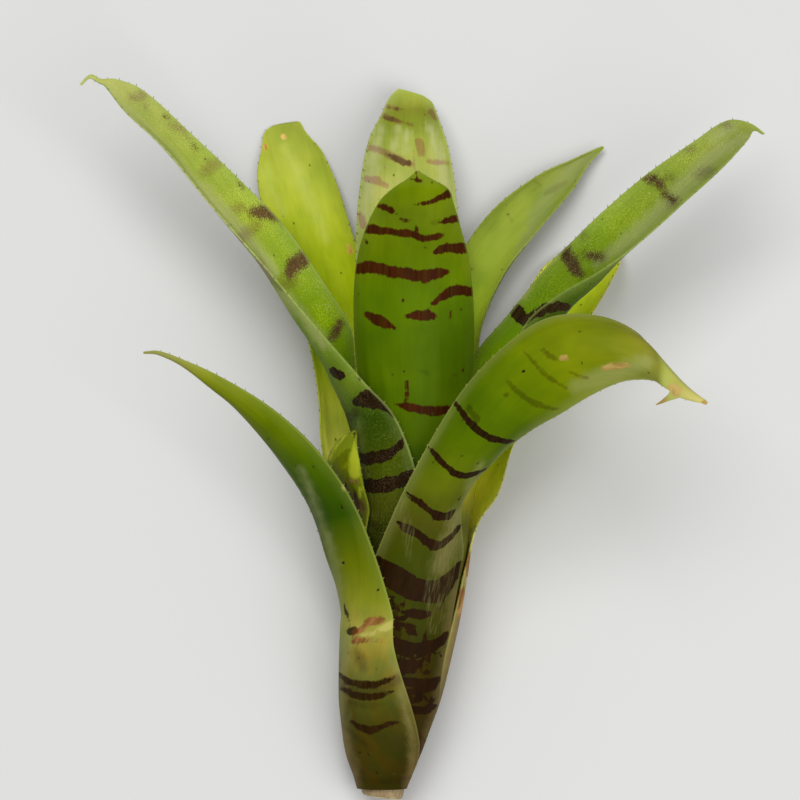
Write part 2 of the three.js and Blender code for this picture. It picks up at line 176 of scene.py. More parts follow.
COMMON = dict.fromkeys(STROKE_KINDS, ()) | dict(
    spur=False,
    band_colour=BROWN,
    faint_tint=(0.42, 0.34, 0.4),
    dry_colour=(0.34, 0.17, 0.08),
    dry_pale=(0.55, 0.4, 0.22),
    pale_colour=(0.3, 0.32, 0.08),
    bloom_colour=(0.32, 0.35, 0.12),
    faint_share=0.7,
    pale_share=0.8,
    bloom_share=0.6,
    soft=0.12,  # half the width of a band's edge, in millimetres
    waver=2.0,  # how far a band's edge strays
    faint_soft=0.35,  # the same as soft, for a faint band
    streaks=0.8,  # length of the teeth that a bloom runs out in
    worn=0.94,  # how much of a band's colour is left over a vein
    fibres=False,  # whether pale streaks lie along single fibres, over the bands, as painted sheen
    patchy=0.0,  # strength of brown and green patches on the sheath
    veins=0.1,  # how strongly they show
    # the paler zone inside the margins is painted sheen
    zone=0.3,  # strength of the paler zone inside the margins
    scurf=0.0,  # how thick the pale scales lie
    far=(0.5, 0.62),  # where along a thickly scaled leaf its bands turn to crowded dots
    through=0.0,  # light that the leaf lets through
)
HEART_LOOK = dict(
    outer=[(0, 120, 140, 30), (0.6, 180, 240, 40), (1, 260, 300, 80)],
    inner=[(0, 120, 140, 30), (1, 220, 280, 60)],
    margin=(0.28, 0.34, 0.1),
    scurf=0.3,
)
LEAVES = []


def add_leaf(name, slot, **given):
    """Notes a leaf down, with its own measures, strokes and colours."""
    LEAVES.append(COMMON | given | {"name": name, "slot": slot})


# ---- the leaves ----
# columns: of its mesh. ring: of the tank, 0 outermost. wrap: height, then the bearings of the left
# and the right margin. blade: left margin, midrib and right margin of each section.
# Strokes are lists of points in units of the front view, from its top left corner. The first point
# has a half width too, and so has each one where it changes. band is maroon, blotch is maroon that
# comes and goes, faint is a weak band, dry is tan, pale is a light streak, bloom is a
# greyish veil. In places a faint stroke is painted shade, a pale one is painted light, and the greyish
# veil is painted sheen and painted light; the leaves below say where.
# outer and inner are the colours of the two faces; outer looks away from the heart. A list of
# colours runs from the foot to the tip: a place from 0 to 1, then red, green, blue in thousandths.

add_leaf(
    "leaf_left_low", "leaf_banded", columns=56, ring=0,
    wrap=[(2.5, 304, 20), (12, 302, 40), (25, 294, 71), (40, 256, 96), (50, 220, 102)],
    blade=[
        [(-19, 62.5, -2), (-16.2, 64, 9.5), (-6.8, 66, 16.5)],
        [(-24.5, 78, 3), (-20.6, 79.2, 12), (-13, 81, 17.3)],
        [(-32.3, 91, 6), (-28.2, 91.5, 13.5), (-21.9, 93.6, 17)],
        [(-41.9, 103, 8), (-37.9, 102.2, 13.5), (-33.2, 104.2, 15.8)],
        [(-50.5, 111, 8.5), (-48.6, 110.2, 12), (-46, 112.4, 13)],
        [(-59.2, 117, 8), (-59, 117.5, 9), (-58.7, 118.3, 9.4)],
        [(-65, 119.5, 6.4), (-65, 119.9, 6.8), (-65, 120.4, 7)],
        [(-69, 119.8, 4.7), (-69, 120, 4.9), (-69, 120.2, 5)],
    ],
    band=[
        [(345.5, 604, 0.7), (348, 613, 1.1), (351.5, 626, 0.9)], [(351.5, 631, 4), (355, 630)],
        [(341, 675, 2.2), (352, 682, 3.2), (362, 684.5, 3.6), (376, 684, 3.2), (389, 680, 2.4),
         (396, 676, 1.2)],
        [(343, 688, 2), (352, 693.5, 3), (363, 696.5, 3.8), (377, 697, 3.6), (390, 692, 2),
         (399, 688, 0.8)],
        [(353, 721, 1.6), (360, 726.5, 3.4), (370, 730.5, 4.2), (379, 727.5, 3.4), (388, 724, 2.8),
         (398, 722, 1)], [(357, 750, 1.1), (361, 752)], [(350, 653, 0.9), (352, 655)],
        [(357, 658, 0.8), (358, 660)], [(376, 669, 0.7), (378, 671)], [(383, 673, 0.8), (384, 674)],
    ],
    faint=[
        [(343, 683, 5.5), (352, 689), (365, 691), (380, 689), (390, 684), (398, 679)],
        # The faint stroke from (357, 651) to (365, 668) is painted shade.
        [(352, 702, 2), (365, 705), (378, 704)], [(357, 651, 3), (361, 659, 6), (365, 668, 4)],
        [(344, 725, 0.7), (355, 735, 1.6), (362, 741, 1.3), (371, 748, 0.6)],
        [(352, 653, 1.4), (355, 655)], [(360, 779, 1.2), (380, 781), (400, 780), (414, 776)],
    ],
    dry=[
        [(365, 624, 2.6), (373, 621.5, 4.6), (382, 620, 3.6)], [(357, 631, 3), (364, 629, 2.4)],
        [(350, 639.5, 1.4), (357, 641, 2.8), (367, 640.5, 2.4), (382, 640, 1.4)],
        [(391, 678, 0.6), (396, 675.5, 1.4)],
    ],
    pale=[
        [(380, 629, 2), (386, 627.5, 4.2), (392, 624, 4)], [(362, 634.5, 1.4), (374, 633.5, 2.6)],
        # The next pale stroke is a painted glint, a tiny highlight on the margin.
        [(343.5, 486, 0.9), (344.5, 489)],
    ],
    bloom=[
        [(346, 640, 5), (344, 668), (340, 700), (344, 730), (351, 770, 6), (357, 795, 5)],
        [(394, 664, 1.4), (402, 696, 2), (409, 725, 2.4), (413, 752, 3), (409, 784)],
        [(303, 470, 2.4), (322, 520), (336, 560), (341, 600), (341, 640)],
    ],
    outer=[
        (0, 36, 25, 1), (0.1, 43, 34, 2), (0.18, 72, 68, 6), (0.26, 220, 195, 28), (0.31, 330, 300, 50),
        (0.36, 200, 220, 12), (0.42, 110, 140, 1), (0.52, 22, 56, 0), (0.63, 48, 95, 0),
        (0.74, 108, 155, 0), (0.87, 175, 205, 6), (1, 300, 280, 90),
    ],
    inner=[(0, 120, 140, 20), (0.6, 120, 180, 10), (1, 300, 300, 90)],
    margin=[(0, 220, 140, 45), (0.15, 220, 200, 50), (0.35, 260, 300, 60)],
    bloom_colour=[(0, 240, 150, 50), (0.12, 240, 200, 60), (0.3, 250, 270, 100)],
    band_colour=(0.017, 0.007, 0.001), zone=0.14, faint_tint=(0.48, 0.42, 0.5), faint_share=0.75,
    dry_colour=(0.14, 0.038, 0.01), dry_pale=(0.32, 0.12, 0.045), pale_colour=(0.5, 0.44, 0.12),
    pale_share=0.65, soft=0.25, waver=1, worn=0.9, faint_soft=1.2, patchy=0.8,
)
add_leaf(
    "leaf_right_front", "leaf_banded", columns=56, ring=1, spur=True,
    wrap=[
        (6, 150, 10), (12, 150, 24), (24, 145, 27), (33, 142, 36), (45, 138, 38), (56, 132, 38),
        (66, 127, 37),
    ],
    blade=[
        [(1.1, 83, 17.8), (9.5, 79, 20.3), (16.8, 80, 14)],
        [(8.2, 96.5, 22), (17, 91.5, 26), (26, 92, 20.5)],
        [(17.2, 110.5, 26.5), (25.5, 103.5, 32), (34.3, 98.8, 27)],
        [(27.3, 121.2, 30.5), (35, 113, 37), (42.8, 104, 32.5)],
        [(39, 128.7, 33.5), (45, 119, 41.5), (51, 109, 38)],
        [(52, 129.2, 36), (55.5, 121, 44.5), (59, 112.3, 42)],
        [(62.5, 124.8, 38), (65, 118, 45.5), (66.5, 112.4, 44)],
        [(70, 116.5, 41.5), (70.2, 113.5, 45), (69.6, 110.5, 45)],
        [(76, 110.2, 42.5), (75.2, 109, 44), (74, 107.8, 44)],
        [(80.9, 106.6, 42.8), (80.7, 106.3, 43), (80.5, 106, 43.2)],
    ],
    band=[
        [(454, 401, 2), (463, 412, 3), (470, 422, 3.6), (480, 431), (492, 438), (505, 440, 2.8),
         (514, 440, 1.4)],
        [(427, 446, 1.6), (436, 455, 3.2), (446, 465, 2.8), (455, 472, 3.8), (464, 475, 3.2),
         (475, 473, 2), (487, 467, 0.8)],
        [(403, 490, 1.2), (410, 496, 2.6), (421, 502, 3.8), (428, 509, 3.2), (437, 515.5, 4.2),
         (447, 515.5, 3.6), (456, 508, 1)],
        [(397, 521, 1), (406, 528, 4.6), (417, 532.5, 4), (425, 540, 4.8), (435, 545, 4.4),
         (442, 544, 3.4), (449, 537, 2.8), (459, 526, 2.6)],
        [(372, 563, 9), (388, 573, 12), (399, 580, 12.5), (412, 588, 12), (425, 591, 11), (436, 591),
         (445, 584, 8.6), (452, 575, 5.4), (460, 563, 3)],
        [(401, 613, 1.8), (412, 613.5, 5.2), (422, 614), (434, 613, 1.6)],
        [(392, 617, 3), (405, 620, 1.6)], [(437, 610, 1.4), (441, 605)],
        [(425, 627, 0.9), (424.5, 641, 2)],
        [(390, 643, 8), (404, 648), (415, 651), (428, 647, 6.4), (440, 641, 5), (447, 633, 2.6)],
        [(404, 681, 5), (420, 683, 4.4), (433, 682), (440, 677, 2)],
        [(408, 692, 4), (422, 690, 3), (434, 688, 2)],
        [(409, 709, 4.2), (424, 710, 4.4), (435, 706, 2.4)],
    ],
    blotch=[
        [(398, 662, 6), (404, 672), (416, 668)], [(428, 662, 3.5), (436, 655)],
        [(406, 697, 4.5), (426, 698)], [(398, 626, 2), (410, 632)], [(390, 603, 3), (398, 606)],
    ],
    faint=[
        [(543, 350, 1.6), (550, 356, 2.6), (558, 360, 1.4)],
        [(522, 350, 0.9), (535, 363, 1.7), (547, 375.5, 1.8), (557, 382, 1.6), (566, 387, 0.9)],
        [(506, 379, 1), (514, 387, 2.2), (522, 395, 2.7), (532, 401, 2.4), (541, 404.5), (550, 407, 1.8),
         (558, 408, 1)], [(568, 370, 1), (577, 374.5, 1.7), (587, 377.5, 1)],
        [(470, 408, 3.2), (478, 419)], [(506, 394, 1.5), (507, 395)], [(412, 735, 8), (418, 745)],
        [(388, 606, 7), (392, 622), (396, 634)],
    ],
    dry=[
        [(562, 358, 2.2), (566, 357)],
        [(603, 367, 1.6), (612, 365.5, 3), (622, 364.5, 2.6), (630, 364, 1.4)],
        [(671, 387, 3.4), (677, 392, 4.4)], [(657, 404, 1.6), (664, 397, 3)],
        [(703, 402, 1.6), (708, 405)],
    ],
    # The first pale stroke is painted sheen along the fibres of the sheath.
    pale=[
        [(452, 512, 5), (447, 540, 10), (441, 566, 14), (436, 600, 12), (432, 630, 5)],
        [(404, 500, 3), (408, 530, 6), (410, 560, 3)],
    ],
    bloom=[
        [(456, 512, 4), (452, 528, 6), (446, 550, 8), (440, 568, 7)],
        [(454, 590, 4), (451, 615), (448, 645), (444, 670), (438, 700), (430, 730), (422, 752)],
        [(578, 386, 6), (600, 378, 9), (625, 369, 8), (646, 362, 7)], [(480, 466, 3), (468, 486)],
    ],
    outer=[
        (0, 50, 26, 3), (0.13, 31, 20, 1), (0.22, 32, 29, 1), (0.3, 38, 44, 1), (0.36, 51, 62, 1),
        (0.4, 70, 69, 4), (0.47, 102, 130, 3), (0.54, 72, 122, 0), (0.62, 68, 122, 0), (0.7, 126, 182, 0),
        (0.8, 185, 215, 3), (0.86, 160, 180, 8), (0.905, 190, 190, 20), (0.92, 380, 400, 80),
        (1, 620, 500, 170),
    ],
    inner=[(0, 120, 140, 20), (0.6, 140, 200, 10), (1, 500, 450, 150)],
    margin=[(0, 120, 80, 25), (0.3, 160, 120, 40), (0.42, 300, 330, 90)],
    bloom_colour=[(0, 110, 75, 22), (0.3, 160, 125, 40), (0.4, 220, 200, 70), (0.5, 270, 290, 90)],
    band_colour=(0.014, 0.005, 0.001), faint_tint=(0.6, 0.48, 0.5), faint_share=0.8,
    dry_colour=(0.3, 0.18, 0.045), dry_pale=(0.46, 0.31, 0.1), pale_colour=(0.26, 0.24, 0.09),
    pale_share=0.24, fibres=True, patchy=0.8, bloom_share=0.55, waver=1.2,
)
add_leaf(
    "leaf_small_left", "leaf_pale", columns=32, ring=1,
    wrap=[(8, 190, 158), (30, 188, 153), (50, 186, 148), (66, 186, 145), (78, 187, 143)],
    blade=[
        [(-17, 85, 0), (-13.5, 84, 7.5), (-9.8, 84, 11.5)],
        [(-19.5, 91, 2), (-15, 92, 8.6), (-10.8, 90.5, 11.2)],
        [(-16.4, 96.5, 4.6), (-13.9, 96.5, 7.8), (-11.6, 95.5, 9.9)],
        [(-12.2, 98.9, 8.5), (-11.9, 99, 8.8), (-11.6, 98.9, 9.1)],
    ],
    band=[
        [(357.5, 431, 1.2), (354.5, 438, 0.9), (351, 444.5, 0.5)],
        [(355, 484, 0.8), (356, 493, 1.6), (357.5, 504, 2), (359.5, 518, 1.8)],
        [(346.5, 478, 1), (348, 492)],
    ],
    # The first two faint strokes are painted shade on the half of the fold that lies in shade, and the
    # first pale stroke is painted light on the half that is lit.
    faint=[
        [(333.5, 468, 4.5), (344, 458.5, 5), (350, 452, 4)], [(340, 474, 7), (345, 478)],
        [(350, 484, 5), (354, 500), (358, 515)],
    ],
    dry=[
        [(360, 501, 1.4), (363.5, 508, 2.6), (362.5, 513, 2)], [(352.5, 489, 1.2), (354.5, 505)],
        [(351, 480, 2), (358, 482, 1.4)],
    ],
    pale=[
        [(355, 441, 0.9), (355, 449, 3), (355, 461, 5), (355.5, 473, 5.4)],
        [(330, 459, 0.8), (337, 446, 1.2), (346, 436, 0.9)], [(361, 488, 1.4), (361, 496)],
    ],
    outer=[(0, 30, 30, 4), (0.5, 60, 50, 6), (0.75, 90, 100, 3), (0.9, 170, 210, 2), (1, 200, 230, 10)],
    inner=[(0, 100, 100, 10), (0.85, 240, 270, 10), (1, 240, 270, 15)],
    margin=(0.22, 0.25, 0.02), band_colour=(0.03, 0.014, 0.001), faint_tint=(0.6, 0.6, 0.25),
    faint_share=0.85, dry_colour=(0.09, 0.036, 0.01), dry_pale=(0.2, 0.14, 0.03),
    pale_colour=(0.36, 0.4, 0.02), zone=0.15,
)
add_leaf(
    "leaf_left_back", "leaf_pale", columns=44, ring=2,
    wrap=[(8, 282, 150), (30, 281, 160), (50, 280, 173), (62, 276, 186)],
    blade=[
        [(2, 75, -17.5), (-10.5, 75, -14), (-15, 74, -3)],
        [(-0.5, 92, -19.5), (-14, 92, -18), (-20.8, 92.5, -7)],
        [(-2.5, 108, -22.5), (-15.5, 108, -23), (-22.3, 108, -13)],
        [(-5, 125, -25), (-18, 125, -28), (-25.2, 123.5, -19)],
        [(-9.5, 141, -29), (-21.5, 141.5, -33.5), (-31, 139, -26)],
        [(-13.6, 154, -32.3), (-25.5, 156, -37.8), (-36.3, 155, -31.8)],
        [(-17.3, 166, -36.3), (-28.5, 168, -41.8), (-39.2, 168.5, -37.3)],
        [(-21.6, 175.5, -40.3), (-30.3, 177, -44.3), (-38.3, 177, -41.3)],
        [(-25.8, 181, -43.3), (-31, 182.8, -45.3), (-36.5, 182.6, -44.3)],
        [(-27.6, 184, -45.4), (-28.6, 184.3, -45.6), (-29.6, 184, -45.5)],
    ],
    faint=[[(347, 246, 1.4), (346, 252)], [(318, 215, 1), (324, 260, 3), (330, 300, 2)]],
    dry=[
        [(283, 137.5, 1.9), (284.5, 137.5)], [(264.5, 146, 1.7), (265, 148)],
        [(348.5, 246, 2), (350.5, 251, 2.8)],
    ],
    bloom=[
        [(284, 148, 3), (298, 176, 6), (314, 208), (326, 240, 3)],
        [(266, 166, 3), (270, 190, 5), (282, 212, 3)],
    ],
    outer=[(0, 80, 90, 10), (0.5, 200, 240, 10), (1, 320, 360, 40)],
    # Partly painted light: from 0.4 to 0.6 brightened against the shade of the leaves in front, and the
    # bright yellow-green is partly painted glow of light through the leaf.
    inner=[
        (0, 120, 140, 20), (0.4, 700, 720, 130), (0.5, 720, 760, 100), (0.6, 620, 740, 30),
        (0.7, 300, 400, 1), (0.78, 350, 440, 7), (0.84, 410, 490, 27), (0.9, 460, 520, 55),
        (0.97, 360, 410, 50), (1, 340, 380, 50),
    ],
    margin=(0.42, 0.46, 0.06), faint_tint=(0.9, 0.92, 0.9), bloom_colour=(0.56, 0.62, 0.14),
    bloom_share=0.4, through=0.5, dry_colour=(0.5, 0.2, 0.03), dry_pale=(0.8, 0.55, 0.2), veins=0.06,
    zone=0.2,
)
add_leaf(
    "leaf_right_low", "leaf_pale", columns=40, ring=2,
    wrap=[(8, 35, -74), (25, 32, -74), (45, 28, -74), (60, 20, -72)],
    blade=[
        [(21, 73.5, 1), (17, 72, -10), (6.5, 74, -17.5)],
        [(26.5, 82, -2), (20.5, 83, -13.5), (10, 86, -20)],
        [(31, 96, -6), (26, 98, -20), (16, 101, -25)],
        [(42, 115, -14), (34.5, 117.5, -27), (25, 119.5, -29)],
        [(52.5, 131, -21.4), (44.8, 132.7, -33.4), (34, 134.8, -32.4)],
        [(58.3, 141, -28.4), (51, 142.6, -37.7), (40.8, 144.8, -35.4)],
        [(60.8, 147, -33.4), (56.5, 149.5, -38.7), (50.8, 151, -37.4)],
        [(60.5, 152.6, -38.4), (59.8, 153.2, -39), (58.8, 153.6, -38.8)],
    ],
    faint=[[(474, 529, 0.8), (484, 524), (498, 520)], [(466, 540, 3), (468, 560)]],
    dry=[
        [(466, 528, 1.6), (467, 545, 2.6), (467, 575, 2)],
        [(462, 588, 2), (461, 604, 3.6), (460, 626, 3)],
    ],
    pale=[[(474, 530, 2), (470, 565), (466, 590), (459, 612, 1.4)]],
    outer=[
        (0, 60, 50, 10), (0.3, 160, 110, 30), (0.42, 260, 240, 30), (0.6, 360, 400, 20),
        (1, 420, 460, 30),
    ],
    # Partly painted light: brightened where the front leaf shades this one, and the bright yellow-green
    # is partly painted glow of light through the leaf.
    inner=[
        (0, 200, 160, 40), (0.36, 600, 560, 60), (0.5, 800, 840, 70), (0.7, 620, 700, 40),
        (0.85, 700, 790, 30), (1, 640, 700, 50),
    ],
    margin=(0.42, 0.4, 0.12), band_colour=(0.1, 0.04, 0.01), faint_tint=(0.6, 0.62, 0.4),
    dry_colour=(0.14, 0.045, 0.008), dry_pale=(0.36, 0.17, 0.06), pale_colour=(0.6, 0.58, 0.2), through=1,
)
add_leaf(
    "leaf_left_high", "leaf_banded", columns=52, ring=3,
    wrap=[(10.5, 250, 95), (30, 250, 95), (50, 250, 95), (66, 248, 96)],
    blade=[
        [(-1, 81, -15.5), (-9.6, 80, 2), (4.5, 79.5, 15.5)],
        [(-5, 92, -15), (-10.8, 90, 2.5), (3.9, 89.4, 16.5)],
        [(-11, 105, -13), (-13, 101, 3.5), (-1.5, 103, 17)],
        [(-12.3, 118, -10.3), (-17.5, 110.5, 4), (-9.5, 111.8, 15.5)],
        [(-13.6, 127.3, -8), (-22.3, 120, 3.5), (-17.8, 121.2, 13)],
        [(-21.3, 140, -7), (-29, 130.5, 2), (-26.2, 131, 10.5)],
        [(-31, 154, -6.5), (-37.6, 145.3, -0.5), (-37.3, 144, 7.5)],
        [(-43.5, 167, -6), (-48.5, 161, -2), (-50.5, 159.3, 5)],
        [(-56.5, 179.3, -5), (-61, 175.8, -2.5), (-63, 174.5, 3)],
        [(-69.5, 191, -3), (-72, 187.5, -1.8), (-73.5, 184.5, 1.5)],
        [(-77, 194, -1), (-78.3, 193, -0.6), (-79.5, 192, 0.4)],
        [(-80.7, 193.8, -0.7), (-81, 193.3, -0.3), (-81.2, 192.8, 0.1)],
        [(-83.5, 195, -0.3), (-83.7, 194.5, 0), (-83.8, 194, 0.2)],
        [(-86.5, 192.5, 0), (-86.3, 192.3, 0), (-86, 192, 0)],
    ],
    band=[
        [(253, 213, 5), (262, 212, 7.4), (272, 213, 7), (281, 218, 4.6)],
        [(313, 254, 5), (304, 258, 8), (294, 265, 8.6), (287, 275, 5)],
        [(340, 324, 4.6), (336, 331, 6), (332, 338, 4)],
        [(357, 402, 5), (365, 399, 9), (374, 400, 9.4), (382, 402, 6)],
        [(378, 402, 5), (388, 408, 4.2), (396, 417, 1.8)], [(334, 371, 4), (342, 376)],
        [(360, 456, 5), (368, 458, 6), (378, 458, 6.4), (390, 453, 5.4), (401, 445, 3.4)],
        [(362, 484, 5), (374, 485, 7), (386, 485, 8), (400, 481, 6.6), (411, 474, 5)],
        [(404, 436, 0.8), (402, 447, 2.2)], [(194, 146, 1.7), (197, 149)], [(164, 117, 1), (166, 118)],
        [(240, 184, 1), (242, 187)],
    ],
    faint=[
        [(131, 99, 3), (141, 95.5, 5)], [(169, 126, 3), (177, 127, 4.6), (185, 131, 4)],
        [(203, 174, 4), (211, 166, 6.5), (218, 162, 5)], [(258, 224, 4), (250, 231, 6), (240, 238, 5)],
        [(235, 210, 5), (240, 208)], [(283, 284, 7), (292, 282)], [(356, 411, 4.5), (350, 417)],
        [(374, 524, 4), (380, 528)], [(259, 262, 2.8), (265, 271, 3.4), (272, 281, 2.8)],
        [(144, 106, 0.9), (146, 107)], [(186, 137, 0.9), (190, 139)],
    ],
    # Painted sheen along the lower margin of the curved blade; the last stroke is painted light on the
    # leaf's left side, where the leaves in front shade it.
    bloom=[
        [(106, 90, 3), (125, 112, 5), (150, 140, 6), (180, 172, 7), (212, 204, 8), (243, 238),
         (270, 272, 7)], [(280, 292, 3), (305, 318), (325, 345)],
        [(359, 425, 3), (361, 452, 5), (363, 482), (366, 508), (368, 528, 3)],
    ],
    outer=[
        (0, 24, 22, 2), (0.28, 30, 36, 2), (0.32, 52, 62, 3), (0.38, 50, 74, 1), (0.43, 30, 64, 1),
        (0.475, 125, 185, 10), (0.57, 145, 235, 12), (0.63, 210, 300, 30), (1, 340, 360, 100),
    ],
    inner=[
        (0, 50, 60, 3), (0.49, 145, 265, 1), (0.56, 180, 275, 2), (0.62, 220, 320, 16),
        (0.7, 250, 330, 25), (0.8, 290, 360, 45), (0.88, 310, 350, 68), (0.95, 420, 420, 120),
        (1, 420, 420, 110),
    ],
    bloom_colour=[(0, 140, 170, 30), (0.42, 140, 180, 20), (0.5, 380, 390, 160)],
    margin=(0.3, 0.37, 0.1), band_colour=(0.013, 0.0055, 0.002), band_far=(0.068, 0.036, 0.012),
    faint_tint=(0.68, 0.47, 0.85), zone=0.15, far=(0.47, 0.55), scurf=0.95,
)
add_leaf(
    "leaf_right_high", "leaf_banded", columns=52, ring=3,
    wrap=[(10.5, 72, -85), (30, 72, -80), (50, 70, -68), (66, 65, -56)],
    blade=[
        [(12.3, 80, 12.8), (19.4, 80, -0.5), (15, 81, -9.8)],
        [(17, 92, 11.5), (22.5, 91, 0), (16.5, 94, -10.2)],
        [(22.5, 103, 11), (27.5, 102, 0), (17.6, 107, -9.5)],
        [(28.5, 115.5, 10.5), (34.5, 112.5, 1), (20, 119, -8.5)],
        [(33.5, 127.5, 10.5), (39, 121.5, 2), (29.2, 130.1, -8.5)],
        [(41.3, 134.5, 9), (45.2, 131.2, 1.5), (39.5, 143, -8)],
        [(52.7, 141, 7), (54.5, 140, 0), (47.3, 150.8, -8)],
        [(62, 147.5, 5), (61.5, 149.5, -1.5), (55, 158.3, -7)],
        [(75.6, 159.6, 4), (73.5, 161.5, -2), (67, 168.5, -6)],
        [(87.5, 170.5, 3), (85.5, 172.5, -1.5), (80, 177.5, -4.5)],
        [(93.7, 177.3, 2), (92, 179, -0.8), (88.5, 182.8, -2.5)],
        [(95.5, 180, 1), (94.9, 181, 0), (94, 182.2, -0.6)],
        [(98.1, 178.8, 0.3), (98.3, 179, 0.3), (98.5, 179.2, 0.3)],
    ],
    band=[
        [(564, 247, 4.4), (568, 257, 6.4), (574, 266, 7), (580, 275, 4.6)], [(591, 256, 3), (601, 257)],
        [(509, 308, 4), (517, 312, 7.4), (524, 319, 6)],
        [(531, 316, 3.6), (545, 308.5, 5.4), (558, 305.5, 4.6), (567, 306, 3)],
        [(643, 174, 3.8), (652, 178, 5.4), (661, 185, 4)],
        [(664, 194, 2.6), (669, 198, 3.4), (674, 201, 2.6)],
    ],
    faint=[
        [(662, 188, 4), (668, 196, 6), (674, 200, 5)], [(667, 177, 4), (671, 179)],
        [(670, 205, 4), (676, 206)], [(684, 148, 4), (691, 149)], [(724, 124, 3.6), (729, 125)],
        [(701, 175, 5.5), (712, 172)], [(582, 232, 3.4), (585, 237)], [(588, 256, 6), (603, 258)],
    ],
    pale=[[(523, 297, 3), (534, 277), (546, 264), (556, 257)]],
    bloom=[
        [(745, 138, 4), (722, 150, 8), (700, 172, 9), (676, 196), (650, 222, 8), (622, 248, 7),
         (600, 262, 5)], [(732, 128, 6), (716, 136)],
    ],
    outer=[
        (0, 50, 50, 4), (0.32, 100, 100, 8), (0.37, 300, 280, 12), (0.41, 460, 420, 14),
        (0.45, 240, 260, 8), (0.5, 90, 120, 3), (0.58, 46, 95, 0), (0.7, 70, 125, 2), (1, 200, 220, 50),
    ],
    inner=[
        (0, 50, 60, 3), (0.5, 220, 360, 1), (0.56, 190, 330, 1), (0.61, 125, 225, 1), (0.66, 150, 230, 3),
        (0.73, 170, 260, 8), (0.8, 175, 250, 14), (0.87, 205, 265, 25), (0.95, 200, 240, 36),
        (1, 260, 290, 50),
    ],
    margin=(0.26, 0.33, 0.07), band_colour=(0.022, 0.01, 0.003), band_far=(0.045, 0.026, 0.007),
    faint_tint=(0.58, 0.46, 0.75), bloom_colour=(0.29, 0.32, 0.12), far=(0.58, 0.7), scurf=0.9,
)
add_leaf(
    "leaf_centre_front", "leaf_banded", columns=52, ring=4,
    wrap=[(13.5, 165, 15), (40, 165, 15), (68, 158, 20)],
    blade=[
        [(-6.5, 83, 5), (4.8, 82, 12.8), (16.4, 83, 5)],
        [(-8.5, 100, 5.5), (4.8, 99, 14), (18.2, 99.5, 6.5)],
        [(-11.3, 115, 7.5), (4, 114, 15), (19.2, 114, 8)],
        [(-12.3, 131, 9.5), (3.6, 130, 16.5), (19.7, 130, 10)],
        [(-11.4, 144, 13), (3.8, 143.5, 19), (18.6, 143.5, 13)],
        [(-8.7, 153.6, 17.5), (3.8, 153.2, 22.5), (16.2, 153.2, 18)],
        [(-5.4, 160.3, 22), (4, 159.8, 25.5), (14.2, 159.8, 21.8)],
        [(-1.8, 163.5, 25.2), (4.3, 163.5, 27.5), (12.6, 163.5, 24.2)],
        [(1.6, 165.6, 27.4), (4.5, 165.6, 28.2), (8.8, 165.6, 26.8)],
        [(4.2, 167.8, 29), (4.6, 167.9, 29), (5, 167.8, 29)],
    ],
    band=[
        [(415, 204, 1), (425, 202, 2), (436, 199, 2.8), (448, 193, 4), (453, 191, 3.6)],
        [(379, 205, 2), (385, 207, 3.2), (391, 210, 2.6), (397, 213.5, 0.8)],
        [(399, 219, 0.9), (404, 220, 1.8), (409, 220.5, 0.8)],
        [(439, 222, 0.7), (446, 220.5, 2.8), (459, 217, 4.2)],
        [(363, 230, 4.4), (372, 230, 5), (384, 231, 3.6), (398, 232, 3.2), (412, 234, 4), (423, 237, 3.6),
         (434, 236.5, 3), (443, 233.5, 1.6)], [(416.5, 224, 0.5), (417.5, 232, 2)],
        [(434, 252, 2), (440, 249.5, 4), (448, 247.5, 5), (458, 248, 5.4), (468, 249, 5)],
        [(351, 270, 4.6), (360, 269, 5.4), (369, 266.5, 6.6), (384, 270, 6), (400, 272.5, 5.4),
         (412, 274.5, 6.2), (424, 275.5, 6.6), (436, 273.5, 5.2), (447, 271, 2)],
        [(432, 303, 1.8), (441, 297, 4.2), (450, 291.5, 5.2), (460, 289.5, 5.8), (475, 292, 5.2)],
        [(369, 314.5, 3.4), (377, 318.5, 5.4), (386, 323, 4.8), (395, 327, 1.2)],
        [(408, 315, 2.6), (416, 314.5, 5.2), (426, 314.5, 5.8), (432, 315.5, 3)],
        [(450, 312, 1.3), (450, 317.5)], [(391.5, 247, 1), (392, 249)], [(360.5, 292, 0.9), (361, 294)],
        [(421, 303, 1.1), (422, 304.5)], [(367, 240, 1.2), (368, 242)],
        [(396, 403.5, 1.2), (408, 406.5, 3.4), (420, 409.5, 4.4), (430, 411.5, 4.8), (441, 411, 3.7),
         (452, 409, 3)], [(407, 382, 2.2), (407.5, 390, 1.4), (407.5, 397, 1.2)],
        [(409, 177.5, 0.8), (414, 179, 1.6), (420, 180.5, 1)], [(415.5, 170, 0.8), (417, 178)],
    ],
    faint=[
        [(419, 370, 1.8), (428, 374)], [(452, 374, 1.5), (456, 376)], [(415, 226, 1), (418, 228)],
        [(432, 222, 2), (440, 221)],
    ],
    outer=[
        (0, 20, 30, 0), (0.5, 45, 85, 0), (0.6, 72, 128, 0), (0.72, 60, 115, 0), (0.78, 80, 147, 0),
        (0.85, 112, 168, 0), (0.92, 110, 160, 3), (0.97, 130, 190, 0), (1, 180, 220, 10),
    ],
    inner=[(0, 60, 80, 10), (1, 200, 250, 20)],
    margin=(0.16, 0.22, 0.02), band_colour=RED_BROWN, soft=0.25, faint_tint=(0.7, 0.7, 0.5), veins=0.07,
    zone=0.2,
)
